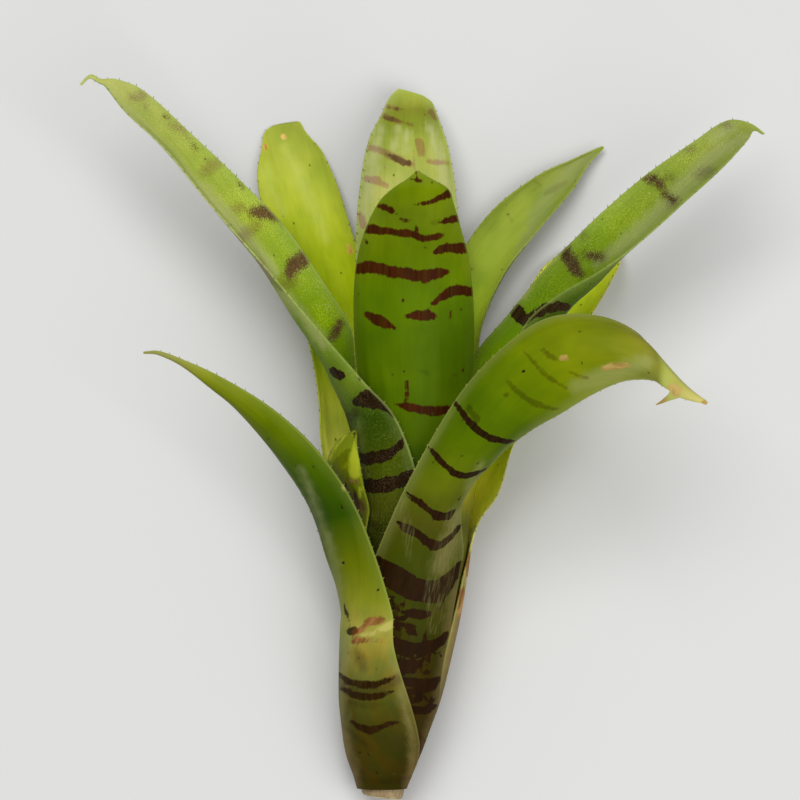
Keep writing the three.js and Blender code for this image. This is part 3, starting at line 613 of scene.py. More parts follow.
add_leaf(
    "leaf_right_back", "leaf_pale", columns=44, ring=4,
    wrap=[(13.5, 10, -100), (40, 0, -110), (65, -36, -128), (78, -60, -140)],
    blade=[
        [(17.5, 95, -16), (11, 94, -20), (2, 96, -18.5)],
        [(20.8, 110, -15.5), (13.5, 110, -23), (3.5, 111, -22.5)],
        [(22, 126, -18), (16.4, 127, -27), (8.2, 129.5, -27)],
        [(28.3, 141.2, -23), (22.8, 143, -32), (16.2, 146.3, -30)],
        [(37.6, 153.5, -28), (33, 156.2, -36), (26.4, 160.3, -33)],
        [(47.5, 165, -34), (43.8, 167, -39), (38.6, 169.6, -36.5)],
        [(52.5, 172.6, -38), (50.6, 173.3, -40.2), (47.4, 173.6, -39)],
        [(56.5, 177.1, -41), (56.3, 177.3, -41), (56.1, 177.5, -41)],
    ],
    faint=[
        [(546, 194, 2), (556, 188, 4), (566, 184, 2)], [(505, 213, 1), (512, 222)],
        [(532, 178, 2), (540, 186)],
    ],
    bloom=[[(592, 156, 4), (575, 168, 9), (552, 192), (534, 224, 7), (520, 260, 5)]],
    outer=[(0, 60, 80, 10), (1, 220, 260, 40)],
    inner=[
        (0, 80, 100, 10), (0.5, 400, 540, 20), (0.67, 420, 570, 30), (0.73, 300, 400, 33),
        (0.8, 260, 340, 37), (0.88, 255, 320, 42), (0.93, 260, 310, 52), (1, 210, 240, 50),
    ],
    margin=(0.28, 0.34, 0.06), faint_tint=(0.84, 0.74, 0.75), bloom_colour=(0.3, 0.34, 0.13),
    bloom_share=0.5, through=0.4, veins=0.08,
)
add_leaf(
    "leaf_centre_back", "leaf_pale", columns=44, ring=5,
    wrap=[(17, -35, -155), (45, -35, -155), (65, -41, -152), (80, -50, -146)],
    blade=[
        [(15, 100, -11.5), (4, 100, -16), (-8.2, 100, -10.5)],
        [(17, 120, -14), (3.3, 120, -19.5), (-10.5, 120, -13)],
        [(16.5, 140, -18.5), (2.6, 140, -24), (-11.8, 140, -17.5)],
        [(16, 155.5, -22), (2.2, 156, -27.5), (-11.6, 156, -21)],
        [(14.8, 168, -25.5), (2.2, 169, -31), (-10.2, 169, -25)],
        [(12.8, 178, -29.5), (2.2, 179, -34), (-8.2, 179, -29.5)],
        [(10.2, 185.8, -33.5), (2.4, 186.5, -36.5), (-5, 186.2, -34)],
        [(8.9, 189.4, -36.8), (3, 190.8, -38), (-2.8, 191, -37.2)],
        [(6.6, 191.2, -38.3), (2.9, 192.4, -39), (-0.5, 193.3, -38.6)],
    ],
    band=[
        [(390, 108, 1.2), (397, 109)], [(383, 117.5, 1.2), (393, 120, 2), (404, 123.5, 1)],
        [(386, 154, 1), (395, 159, 3), (404, 163, 3.2), (409, 164, 2.4)],
    ],
    faint=[
        [(384, 105.5, 1.4), (392, 108, 2.2), (403, 110, 1.2)],
        [(380, 115, 2.6), (388, 118.5, 2.4), (397, 121.5, 3), (412, 126, 2)],
        [(431, 112, 3.4), (436, 118)],
        [(368, 147, 2.8), (378, 149.5, 3), (388, 154.5, 3.6), (398, 160, 4.4), (410, 164.5, 3.2)],
        [(428, 162.5, 1.6), (438, 162.5, 3), (450, 163, 2.6)],
        [(367, 178.5, 2.8), (377, 181, 4.2), (386, 185.5, 2.8)], [(420, 142, 4), (422, 153)],
        [(360, 214, 2.8), (363, 226)], [(414, 152, 1), (415, 171)],
    ],
    bloom=[
        [(380, 132, 3), (373, 160, 5), (366, 195), (362, 225, 4)],
        [(430, 126, 3), (440, 156, 5), (447, 190), (452, 220, 4)], [(398, 128, 1.6), (394, 150)],
        [(407, 132, 1.4), (405, 152)],
    ],
    outer=[(0, 60, 80, 10), (1, 260, 300, 50)],
    # Partly its own colour, partly painted glow of light through the leaf.
    inner=[
        (0, 100, 130, 10), (0.5, 280, 360, 30), (0.8, 360, 420, 80), (0.835, 420, 450, 110),
        (0.87, 310, 360, 65), (0.92, 270, 320, 45), (0.95, 210, 250, 20), (0.968, 190, 205, 20),
        (1, 300, 360, 50),
    ],
    margin=(0.42, 0.48, 0.14), band_colour=(0.1, 0.06, 0.02), faint_tint=(0.82, 0.46, 0.85),
    faint_share=0.8, bloom_colour=(0.52, 0.53, 0.25), bloom_share=0.55, soft=0.3, streaks=3, veins=0.2,
)
add_leaf(
    "leaf_heart_right", "leaf_heart", columns=28, ring=6,
    wrap=[(21, 125, -20), (45, 125, -20), (70, 120, -15)],
    blade=[
        [(1, 90, 9.5), (12.5, 90, 9), (16, 90, -1)],
        [(4, 104, 9.5), (12, 104, 8), (14.5, 104, 1)],
        [(8.6, 117, 6.2), (9.3, 117.3, 6), (9.9, 117, 5.6)],
    ],
    **HEART_LOOK,
)
add_leaf(
    "leaf_heart_left", "leaf_heart", columns=28, ring=6,
    wrap=[(21, 325, 190), (45, 325, 190), (66, 320, 195)],
    blade=[
        [(13, 84, -5.5), (3, 84, -9), (-4, 84, -2)],
        [(11, 96, -5.5), (3.5, 96, -8.5), (-1.5, 96, -3)],
        [(5.6, 109, -6.6), (4.9, 109.3, -6.9), (4.2, 109, -6.6)],
    ],
    **HEART_LOOK,
)
add_leaf(
    "leaf_heart_spear", "leaf_heart", columns=28, ring=8,
    wrap=[(28, 250, 30), (50, 250, 30), (66, 245, 40)],
    blade=[
        [(2.5, 84, -4), (-1, 83, 4), (8.5, 84, 5)],
        [(4.2, 99, 0.4), (4.2, 99.4, 1.2), (4.9, 99.2, 1.7)],
    ],
    **HEART_LOOK,
)

# ---- shape of a leaf ----


def read_off(rows, place):
    """The row of a list at a place along it, on a smooth curve through them all."""
    i = 0
    while i < len(rows) - 2 and rows[i + 1][0] <= place:
        i += 1
    start, end = rows[i], rows[i + 1]
    before = rows[max(i - 1, 0)]
    after = rows[min(i + 2, len(rows) - 1)]
    span = end[0] - start[0]
    t = (place - start[0]) / span
    values = []
    for k in range(1, len(start)):
        a, b = start[k], end[k]
        slope_out = (b - before[k]) / (end[0] - before[0]) * span
        slope_in = (after[k] - a) / (after[0] - start[0]) * span
        near = a * (1 + 2 * t) + slope_out * t
        far = b * (3 - 2 * t) + slope_in * (t - 1)
        values.append(near * (1 - t) ** 2 + far * t**2)
    return values


def on_ring(ring, height, bearing):
    """A point on a sheath's middle surface."""
    radius = read_off(TANK, height)[0] - ring * RING_STEP - MIDDLE_THICKNESS / 2
    angle = math.radians(bearing)
    axis = FOOT_X + LEAN * height
    return (axis + radius * math.cos(angle), height, radius * math.sin(angle))


def sections_of(leaf):
    """Every section of a leaf: distance along the midrib, left margin, midrib, right margin."""
    wrap = leaf["wrap"]
    bottom, top = wrap[0][0], wrap[-1][0]
    count = int((top - bottom) / WRAP_STEP + 0.5)
    sections = []
    for i in range(count + 1):
        height = bottom + (top - bottom) * i / count
        left, right = read_off(wrap, height)
        bearings = (left, (left + right) / 2, right)
        sections.append([on_ring(leaf["ring"], height, b) for b in bearings])
    sections += leaf["blade"]
    rows = []
    along = 0
    for i, section in enumerate(sections):
        if i:
            along += math.dist(section[1], sections[i - 1][1])
        rows.append((along, *section[0], *section[1], *section[2]))
    return rows


class Section:
    """One cross-section of a leaf, as the arc through its two margins and its midrib."""

    def __init__(self, rows, place):
        values = read_off(rows, place)
        self.middle = Vector(values[3:6])
        self.to_left = Vector(values[0:3]) - self.middle
        self.to_right = Vector(values[6:9]) - self.middle
        cross = self.to_left.cross(self.to_right)
        chords = (self.to_left.length, self.to_right.length)
        self.flat = cross.length < STRAIGHT
        if self.flat:
            self.half = chords
            return
        inward = self.to_right * self.to_left.length_squared
        inward -= self.to_left * self.to_right.length_squared
        inward = inward.cross(cross) / (2 * cross.length_squared)
        self.radius = inward.length
        self.inward = inward.normalized()
        self.along = cross.normalized().cross(self.inward)
        self.angles = [2 * math.asin(min(c / (2 * self.radius), 1)) for c in chords]
        self.half = [self.radius * a for a in self.angles]

    def point(self, side):
        """The point at a side from -1, the left margin, to 1, the right one."""
        if self.flat:
            return self.middle + (self.to_left if side < 0 else self.to_right) * abs(side)
        angle = self.angles[0 if side < 0 else 1] * side
        across = self.along * (self.radius * math.sin(angle))
        return self.middle + across + self.inward * (self.radius * (1 - math.cos(angle)))


UP = Vector((0, math.sin(math.radians(CROWN_UP)), math.cos(math.radians(CROWN_UP))))
LAY_DOWN = (
    Matrix.Scale(MM, 4)
    @ Matrix.Translation((-CENTRE_X, -CENTRE_Y, LIFT))
    @ Matrix.Rotation(math.radians(CROWN_UP), 4, "X")
)


def pressed(point, least):
    """Where a leaf would dip below the surface, it is pressed flat against it."""
    height = point.dot(UP) + LIFT
    return point + UP * (least - height) if height < least else point


def smooth_step(low, high, value):
    """0 up to the low end, 1 from the high end on, and eased between them."""
    t = min(max((value - low) / (high - low), 0), 1)
    return t * t * (3 - 2 * t)


def seen(point):
    """Where a point of the plant shows on the front view."""
    scale = EYE_HEIGHT / (EYE_HEIGHT - point.z)
    x = point.x * scale
    y = EYE_Y + (point.y - EYE_Y) * scale
    return (VIEW_CENTRE_X + x / VIEW_UNIT, VIEW_FOOT_Y - y / VIEW_UNIT)


def parts_of(strokes):
    """The straight parts of strokes, as two ends that each have a place and a half width."""
    parts = []
    for stroke in strokes:
        ends = []
        for x, y, *half in stroke:
            ends.append((x, y, half[0] if half else ends[-1][2]))
        parts += zip(ends, ends[1:])
    return parts


def inside_strokes(parts, x, y):
    """How far a place of the front view lies inside the nearest stroke, in millimetres."""
    best = FAR_OFF / VIEW_UNIT
    for (ax, ay, a_half), (bx, by, b_half) in parts:
        reach = max(a_half, b_half) - best
        if min(ax, bx) - x > reach or x - max(ax, bx) > reach:
            continue
        if min(ay, by) - y > reach or y - max(ay, by) > reach:
            continue
        dx, dy = bx - ax, by - ay
        t = ((x - ax) * dx + (y - ay) * dy) / (dx * dx + dy * dy)
        t = min(max(t, 0), 1)
        half = a_half + (b_half - a_half) * t
        best = max(best, half - math.hypot(x - ax - t * dx, y - ay - t * dy))
    return best * VIEW_UNIT


# ---- the pieces ----


def new_object(name, data):
    """An object in the scene."""
    thing = bpy.data.objects.new(name, data)
    bpy.context.scene.collection.objects.link(thing)
    return thing


def lay_down(bm, name, materials):
    """Lays a mesh of the plant down, in metres, and makes a piece of it."""
    bmesh.ops.transform(bm, matrix=LAY_DOWN, verts=bm.verts)
    for face in bm.faces:
        face.smooth = True
    mesh = bpy.data.meshes.new(name)
    bm.to_mesh(mesh)
    bm.free()
    for material in materials:
        mesh.materials.append(material)
    return new_object(name, mesh)


def with_spur(point, section, ahead_section, from_tip, side):
    """A point of the leaf, drawn out where it lies in the split tooth."""
    rise = 1 - abs(from_tip - SPUR_FROM_TIP) / SPUR_HALF_WIDTH
    push = rise * ((side - SPUR_SIDE) / (1 - SPUR_SIDE)) ** 2
    out = (section.point(1) - section.point(SPUR_INSIDE)).normalized()
    ahead = (ahead_section.point(1) - section.point(1)).normalized()
    return point + out * (SPUR_LENGTH * push) + ahead * (SPUR_SWEEP * push)


def waves_at(across, along, seed):
    """How high the soft waves of a leaf stand at a place on it, in centimetres across and along."""
    total = 0
    for i, (height, often_across, often_along) in enumerate(WAVES):
        place = Vector((across * often_across, along * often_along, seed + 9 * i))
        total += height * noise.noise(place)
    return total


def turn_outwards(bm, flat_place):
    """The outer face of a leaf is the one that the across and lengthwise directions turn to."""
    bm.faces.ensure_lookup_table()
    bm.normal_update()
    face = bm.faces[len(bm.faces) // 2]
    corners = [flat_place[loop.vert.index] for loop in face.loops]
    turn = sum(a[0] * b[1] - b[0] * a[1] for a, b in zip(corners, corners[1:] + corners[:1]))
    if turn < 0:
        bmesh.ops.reverse_faces(bm, faces=bm.faces)
        bm.normal_update()


def add_wall(piece):
    """Gives a leaf its thickness, half to each side, and takes the sharpness off its rim."""
    piece.vertex_groups.new(name="thickness")
    wall = piece.modifiers.new("wall", "SOLIDIFY")
    wall.thickness = MIDDLE_THICKNESS * MM
    wall.offset = 0
    wall.vertex_group = "thickness"
    wall.material_offset = 1
    edge = piece.modifiers.new("edge", "BEVEL")
    edge.width = EDGE_ROUND * MM
    edge.segments = 2
    edge.limit_method = "ANGLE"
    edge.angle_limit = math.radians(SHARP_EDGE)


def leaf_piece(leaf, materials):
    """The blade and sheath of one leaf, as a fine sheet that a modifier gives its thickness."""
    rows = sections_of(leaf)
    length = rows[-1][0]
    sheath = rows[len(rows) - len(leaf["blade"]) - 1][0]
    count = round(length / ROW_STEP)
    bm = bmesh.new()
    bmesh.ops.create_grid(bm, x_segments=leaf["columns"], y_segments=count, size=1)
    layers = {key: bm.verts.layers.float.new(key) for key in (*STROKE_KINDS, "edge", "reach")}
    strokes = {key: parts_of(leaf[key]) for key in STROKE_KINDS}
    weights = bm.verts.layers.deform.new()
    uv = bm.loops.layers.uv.new("leaf")
    flat_place = {}
    sections = {}
    for vert in bm.verts:
        side = vert.co.x
        share = min(max((vert.co.y + 1) / 2, 0), 1)
        place = length * (1 - (1 - share) ** CROWDING)
        row = round(share * count)
        if row not in sections:
            sections[row] = Section(rows, place)
        section = sections[row]
        point = section.point(side)
        half = section.half[0 if side < 0 else 1]
        from_tip = length - place
        in_spur = leaf["spur"] and abs(from_tip - SPUR_FROM_TIP) < SPUR_HALF_WIDTH
        if in_spur and side > SPUR_SIDE:
            ahead_section = Section(rows, place + SPUR_AHEAD)
            point = with_spur(point, section, ahead_section, from_tip, side)
        x, y = seen(point)
        for key in STROKE_KINDS:
            vert[layers[key]] = inside_strokes(strokes[key], x, y)
        vert[layers["edge"]] = half * (1 - abs(side))
        vert[layers["reach"]] = place / length
        swell = (1 - side * side) * min(from_tip / TIP_TAPER, 1)
        thickness = EDGE_THICKNESS + (MIDDLE_THICKNESS - EDGE_THICKNESS) * swell
        vert[weights][0] = thickness / MIDDLE_THICKNESS
        flat_place[vert.index] = (side * half / CM, place / CM)
        vert.co = point
    for face in bm.faces:
        for loop in face.loops:
            loop[uv].uv = flat_place[loop.vert.index]
    turn_outwards(bm, flat_place)
    # Soft waves along the blade, none down in the tank where the sheaths lie close.
    seed = leaf["ring"] * 7.3 + len(leaf["name"])
    for vert in bm.verts:
        across, along = flat_place[vert.index]
        free = smooth_step(sheath, sheath + FREE_FROM, along * CM)
        free *= smooth_step(0, STEADY_TIP, length - along * CM)
        vert.co = pressed(vert.co + vert.normal * (free * waves_at(across, along, seed)), LEAF_CLEAR)
    piece = lay_down(bm, leaf["name"] + "_blade", materials)
    add_wall(piece)
    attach(piece, "root")
    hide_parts(leaf["name"])
    return rows, length, sheath


def spines_piece(leaf, rows, length, sheath, material):
    """The row of short hooked spines along both margins of a blade."""
    bm = bmesh.new()
    tip_layer = bm.verts.layers.float.new("tip")
    place = sheath * SPINES_FROM
    turn = 0
    while place < length - BARE_TIP:
        section = Section(rows, place)
        ahead_section = Section(rows, min(place + AHEAD, length))
        turn += 1
        for side in (-1, 1):
            base = section.point(side)
            out = (base - section.point(side * INSIDE_MARGIN)).normalized()
            ahead = (ahead_section.point(side) - base).normalized()
            size = SPINE_SIZE + SIZE_SWING * math.sin(turn * 2.7 + side)
            axis = (out + ahead * SPINE_SWEEP).normalized()
            across = axis.cross(ahead).normalized()
            turned = Matrix((across, axis.cross(across), axis)).transposed().to_4x4()
            middle = pressed(base + axis * (SPINE_LENGTH * size / 2), SPINE_CLEAR)
            spine = bmesh.ops.create_cone(
                bm,
                cap_ends=True,
                segments=6,
                radius1=SPINE_RADIUS * size,
                radius2=SPINE_POINT,
                depth=SPINE_LENGTH * size + SPINE_EXTRA,
                matrix=Matrix.Translation(middle) @ turned,
            )
            for vert in spine["verts"]:
                vert[tip_layer] = 1 if (vert.co - middle).dot(axis) > 0 else 0
        place += SPINE_PITCH * (1 + PITCH_SWING * math.sin(turn * 1.9))
    piece = lay_down(bm, leaf["name"] + "_spines", [material])
    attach(piece, "root")


def stem_piece(material):
    """The stub of stem, turned about the plant's axis, with its cut end sunk a little."""
    bm = bmesh.new()
    points = [bm.verts.new((radius, height, 0)) for radius, height in STEM_CUT + STEM_SIDE]
    edges = [bm.edges.new(pair) for pair in zip(points, points[1:])]
    about = dict(cent=(0, 0, 0), axis=(0, 1, 0), angle=math.tau, steps=STEM_STEPS, use_merge=True)
    bmesh.ops.spin(bm, geom=points + edges, **about)
    bmesh.ops.remove_doubles(bm, verts=bm.verts, dist=1e-4)
    bmesh.ops.recalc_face_normals(bm, faces=bm.faces)
    for vert in bm.verts:
        around = math.atan2(vert.co.z, vert.co.x)
        bark_place = (math.cos(around) * 2.5, vert.co.y * 0.5, math.sin(around) * 2.5)
        rough = STEM_ROUGH * noise.noise(Vector(bark_place))
        ribs = RIB_HEIGHT * math.sin(around * RIBS + RIB_TWIST * vert.co.y)
        flare = 1 + (rough + ribs) * min(math.hypot(vert.co.x, vert.co.z) / STEM_CALM, 1)
        vert.co.x *= flare
        vert.co.z *= flare
    bmesh.ops.rotate(bm, verts=bm.verts, matrix=Matrix.Rotation(-math.atan(LEAN), 3, "Z"))
    bmesh.ops.translate(bm, verts=bm.verts, vec=(FOOT_X, 0, 0))
    piece = lay_down(bm, "stem_stub", [material])
    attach(piece, "root")
    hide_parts("stem")


# ---- shader nodes ----


def add(tree, kind, inputs=None, **settings):
    """A node with its settings made and its sockets linked or set."""
    node = tree.nodes.new(kind)
    for key, value in settings.items():
        setattr(node, key, value)
    for key, value in (inputs or {}).items():
        socket = node.inputs[key]
        if isinstance(value, bpy.types.NodeSocket):
            tree.links.new(value, socket)
        else:
            socket.default_value = (*value, 1) if socket.type == "RGBA" else value
    return node


def calc(tree, operation, a, b, c=0.0):
    return add(tree, "ShaderNodeMath", {0: a, 1: b, 2: c}, operation=operation).outputs[0]


def times(tree, a, b):
    return calc(tree, "MULTIPLY", a, b)


def times_plus(tree, a, b, c):
    return calc(tree, "MULTIPLY_ADD", a, b, c)


def map_range(tree, value, low, high, to_low=0.0, to_high=1.0):
    """A value eased from one range to another."""
    ends = {"From Min": low, "From Max": high, "To Min": to_low, "To Max": to_high}
    kind = "ShaderNodeMapRange"
    return add(tree, kind, {"Value": value, **ends}, interpolation_type="SMOOTHSTEP").outputs[0]


def mix(tree, factor, a, b, blend="MIX"):
    """A colour mix; a and b are sockets or plain colours."""
    settings = dict(data_type="RGBA", blend_type=blend, clamp_factor=True)
    return add(tree, "ShaderNodeMix", {0: factor, 6: a, 7: b}, **settings).outputs[2]


def tinted(tree, colour, tint):
    return mix(tree, 1.0, colour, tint, "MULTIPLY")


def object_place(tree):
    return add(tree, "ShaderNodeTexCoord").outputs["Object"]


def noise_at(tree, place, scale, detail):
    inputs = {"Vector": place, "Scale": scale, "Detail": detail}
    return add(tree, "ShaderNodeTexNoise", inputs).outputs["Fac"]


def leaf_place(tree, across, along, seed=0.0):
    """The flat leaf, drawn out so that so many steps make a centimetre across and along it."""
    where = add(tree, "ShaderNodeUVMap", uv_map="leaf").outputs[0]
    moved = {"Vector": where, "Location": (seed, seed * 0.7, seed), "Scale": (across, along, 1)}
    return add(tree, "ShaderNodeMapping", moved).outputs[0]


def leaf_noise(tree, across, along, detail, seed):
    """Noise with so many features to a centimetre across and along a leaf."""
    return noise_at(tree, leaf_place(tree, across, along, seed), 1, detail)


def leaf_cells(tree, across, along, randomness):
    """Cells on the flat leaf: how far from the middle of one, and a value that each cell has."""
    inputs = {"Vector": leaf_place(tree, across, along), "Scale": 1, "Randomness": randomness}
    cells = add(tree, "ShaderNodeTexVoronoi", inputs).outputs
    value = add(tree, "ShaderNodeSeparateColor", {"Color": cells["Color"]}).outputs[0]
    return cells["Distance"], value


def new_group(name, inputs, outputs):
    """An empty shader group with float sockets."""
    tree = bpy.data.node_groups.new(name, "ShaderNodeTree")
    for label, value in inputs.items():
        socket = tree.interface.new_socket(label, in_out="INPUT", socket_type="NodeSocketFloat")
        socket.default_value = value
    for label in outputs:
        tree.interface.new_socket(label, in_out="OUTPUT", socket_type="NodeSocketFloat")
    given = tree.nodes.new("NodeGroupInput").outputs
    out = tree.nodes.new("NodeGroupOutput").inputs
    return tree, given, out


def veins_group():
    """Fine lengthwise veins, close on each other, a little broken."""
    tree, _, out = new_group("leaf veins", {}, ("Lines",))
    broad = leaf_noise(tree, 9, 0.16, 2, 1)
    fine = leaf_noise(tree, 24, 0.3, 1, 5)
    both = times_plus(tree, broad, 0.6, times(tree, fine, 0.4))
    tree.links.new(map_range(tree, both, 0.34, 0.66), out["Lines"])
    return tree


def bands_group():
    """A stroke's inside. Its edge wavers, runs out in teeth along the veins and crumbles."""
    sockets = {"Inside": FAR_OFF, "Soft": 0.12, "Waver": 2.0, "Teeth": 1.4, "Crumbs": 0.5}
    tree, given, out = new_group("leaf bands", sockets, ("Mask",))
    wanders = {
        "Waver": leaf_noise(tree, 2.4, 3.0, 2, 11),
        "Teeth": leaf_noise(tree, 9, 2.2, 3, 2),
        "Crumbs": leaf_noise(tree, 30, 26, 2, 3),
    }
    inside = given["Inside"]
    for label, wander in wanders.items():
        push = times(tree, calc(tree, "SUBTRACT", wander, 0.5), given[label])
        inside = calc(tree, "ADD", inside, push)
    low = times(tree, given["Soft"], -1)
    tree.links.new(map_range(tree, inside, low, given["Soft"]), out["Mask"])
    return tree


def scurf_group():
    """Pale scales, the size of dust, in uneven cross rows."""
    tree, given, out = new_group("leaf scurf", {"Amount": 0.3}, ("Mask",))
    distance, value = leaf_cells(tree, 20, 23, 0.9)
    dots = map_range(tree, distance, 0.46, 0.2)
    drift = map_range(tree, leaf_noise(tree, 2.2, 2.6, 3, 8), 0.35, 0.7)
    chosen = calc(tree, "LESS_THAN", value, times(tree, given["Amount"], 1.3))
    shade = times_plus(tree, drift, 0.75, 0.25)
    tree.links.new(times(tree, times(tree, dots, chosen), shade), out["Mask"])
    return tree


def specks_group():
    """Few dark dots, a third of a millimetre across."""
    tree, _, out = new_group("leaf specks", {}, ("Mask",))
    distance, value = leaf_cells(tree, 2.1, 1.7, 1.0)
    size = times(tree, value, 0.09)
    dots = map_range(tree, calc(tree, "SUBTRACT", distance, size), 0.03, -0.02)
    chosen = calc(tree, "GREATER_THAN", value, 0.45)
    tree.links.new(times(tree, dots, chosen), out["Mask"])
    return tree


def margin_group():
    """The clear rim of a leaf, and the paler zone inside it, which is painted sheen."""
    tree, given, out = new_group("leaf margin", {"Edge": 5.0, "Zone": 4.0}, ("Rim", "Zone"))
    wobble = calc(tree, "SUBTRACT", leaf_noise(tree, 3, 3, 2, 4), 0.5)
    shifted = times_plus(tree, wobble, -1.2, given["Edge"])
    tree.links.new(map_range(tree, given["Edge"], 0.75, 0.2), out["Rim"])
    tree.links.new(map_range(tree, shifted, given["Zone"], 0.0), out["Zone"])
    return tree


def mottle_group():
    """Slow changes of colour over the surface, and finer ones in them."""
    tree, _, out = new_group("leaf mottle", {}, ("Broad", "Fine"))
    broad = noise_at(tree, object_place(tree), 60, 2)
    tree.links.new(map_range(tree, broad, 0.3, 0.7), out["Broad"])
    tree.links.new(leaf_noise(tree, 5, 1.4, 4, 6), out["Fine"])
    return tree


VEINS = veins_group()
BANDS = bands_group()
SCURF = scurf_group()
SPECKS = specks_group()
MARGIN = margin_group()
MOTTLE = mottle_group()


def placed(tree, group, **inputs):
    """What a group puts out in a material."""
    return add(tree, "ShaderNodeGroup", inputs, node_tree=group).outputs


def attribute(tree, name):
    return add(tree, "ShaderNodeAttribute", attribute_name=name).outputs["Fac"]


def new_material(name):
    material = bpy.data.materials.new(name)
    material.use_nodes = True
    tree = material.node_tree
    tree.nodes.clear()
    shader = tree.nodes.new("ShaderNodeBsdfPrincipled")
    output = tree.nodes.new("ShaderNodeOutputMaterial")
    tree.links.new(shader.outputs[0], output.inputs[0])
    return material, tree, shader


def ramp(tree, factor, stops):
    """Colours along a leaf."""
    node = add(tree, "ShaderNodeValToRGB", {"Fac": factor})
    elements = node.color_ramp.elements
    while len(elements) < len(stops):
        elements.new(0.5)
    for element, (place, red, green, blue) in zip(elements, stops):
        element.position = place
        element.color = (red / 1000, green / 1000, blue / 1000, 1)
    return node.outputs["Color"]


# ---- materials ----


def leaf_skin(leaf, face):
    """The skin of one face of a leaf."""
    material, tree, shader = new_material(f"{leaf['name']}_{face}")
    reach = attribute(tree, "reach")
    mottle = placed(tree, MOTTLE)
    veins = placed(tree, VEINS)["Lines"]

    def strokes(kind, **edges):
        return placed(tree, BANDS, Inside=attribute(tree, kind), **edges)["Mask"]

    def under(mask, amount, coat):
        """The colour so far, under another coat."""
        return mix(tree, times(tree, mask, amount), colour, coat)

    def shift(mask, low_tint, high_tint):
        """The colour so far, with one tint that turns into another."""
        return mix(tree, mask, tinted(tree, colour, low_tint), tinted(tree, colour, high_tint))

    def paint(value):
        return ramp(tree, reach, value) if isinstance(value, list) else value

    border = paint(leaf["margin"])
    colour = ramp(tree, reach, leaf[face])
    # Slow and fine variation of the green.
    colour = shift(mottle["Broad"], SHADED, SUNNY)
    fine = map_range(tree, mottle["Fine"], 0.35, 0.75, 0.0, 0.3)
    colour = mix(tree, fine, colour, tinted(tree, colour, DEEP))
    if leaf["patchy"]:
        # Browner in some patches of the sheath and greener in others.
        patches = map_range(tree, leaf_noise(tree, 1.7, 1.1, 3, 33), 0.38, 0.62)
        on_sheath = map_range(tree, reach, 0.25, 0.4, leaf["patchy"], 0.0)
        colour = mix(tree, on_sheath, colour, shift(patches, BROWNER, GREENER))
    scaly = leaf["scurf"] > THICK_SCURF
    if scaly:
        grain = map_range(tree, leaf_noise(tree, 21, 24, 1, 12), 0.36, 0.64)
        drifts = map_range(tree, mottle["Broad"], 0.3, 0.8, 0.35, 0.95)
        colour = mix(tree, drifts, colour, shift(grain, SCALY, BARE))
    colour = under(veins, leaf["veins"], tinted(tree, colour, VEINED))
    # Paler towards the margins, which is painted sheen. Veiled with grey where the scales lie close;
    # in places that grey veil is painted sheen and painted light.
    margin = placed(tree, MARGIN, Edge=attribute(tree, "edge"), Zone=4.5)
    colour = under(margin["Zone"], leaf["zone"], border)
    bloom = strokes("bloom", Soft=1.8, Waver=3.0, Teeth=leaf["streaks"], Crumbs=1.5)
    colour = under(bloom, leaf["bloom_share"], paint(leaf["bloom_colour"]))
    # Out on the leaves that are thick with scales, the bands are no more than crowded brown dots.
    maroon = leaf["band_colour"]
    if scaly and face == "inner":
        far = map_range(tree, reach, *leaf["far"])
        faint = strokes("faint", Soft=1.2, Waver=2.0, Teeth=1.5, Crumbs=5.0)
        soft = times_plus(tree, far, 0.8, 0.14)
        crumbs = times_plus(tree, far, 4.0, 0.8)
        bands = strokes("band", Soft=soft, Waver=2.0, Teeth=1.6, Crumbs=crumbs)
        maroon = mix(tree, far, maroon, leaf["band_far"])
        scurf_share = far
    else:
        waver = leaf["waver"]
        faint = strokes("faint", Soft=leaf["faint_soft"], Waver=1.6, Teeth=1.2, Crumbs=0.6)
        bands = strokes("band", Soft=leaf["soft"], Waver=waver, Teeth=0.6 * waver, Crumbs=0.5)
        scurf_share = 0.3
    colour = under(faint, leaf["faint_share"], tinted(tree, colour, leaf["faint_tint"]))
    pale = strokes("pale", Soft=0.5, Waver=1.2, Teeth=1.5, Crumbs=0.5)
    if not leaf["fibres"]:
        colour = under(pale, leaf["pale_share"], leaf["pale_colour"])
    # Maroon bands, worn thin along some of the veins.
    blotches = strokes("blotch", Soft=0.3, Waver=12.0, Teeth=5.0, Crumbs=1.0)
    bands = calc(tree, "MAXIMUM", bands, blotches)
    worn = map_range(tree, veins, 0.2, 0.9, 1.0, leaf["worn"])
    thin = map_range(tree, mottle["Fine"], 0.35, 0.7)
    colour = under(bands, worn, mix(tree, thin, maroon, tinted(tree, maroon, THIN_BAND)))
    if leaf["fibres"]:
        # Painted sheen, pale along single fibres, across the bands too.
        fibre = map_range(tree, leaf_noise(tree, 24, 2, 2, 21), 0.44, 0.72, 0.1, 1.0)
        colour = under(times(tree, pale, leaf["pale_share"]), fibre, leaf["pale_colour"])
    colour = under(placed(tree, SPECKS)["Mask"], SPECK_SHARE, SPECK_COLOUR)
    # Scales lie over everything green, the bands as well.
    scurf = times(tree, placed(tree, SCURF, Amount=leaf["scurf"])["Mask"], scurf_share)
    colour = under(scurf, SCURF_SHARE, mix(tree, bands, SCURF_COLOUR, BAND_SCURF_COLOUR))
    colour = under(margin["Rim"], RIM_SHARE, border)
    dry = strokes("dry", Soft=0.3, Waver=2.0, Teeth=1.6, Crumbs=1.0)
    tan = map_range(tree, mottle["Fine"], 0.4, 0.65)
    colour = under(dry, DRY_SHARE, mix(tree, tan, leaf["dry_colour"], leaf["dry_pale"]))
    tree.links.new(colour, shader.inputs["Base Color"])
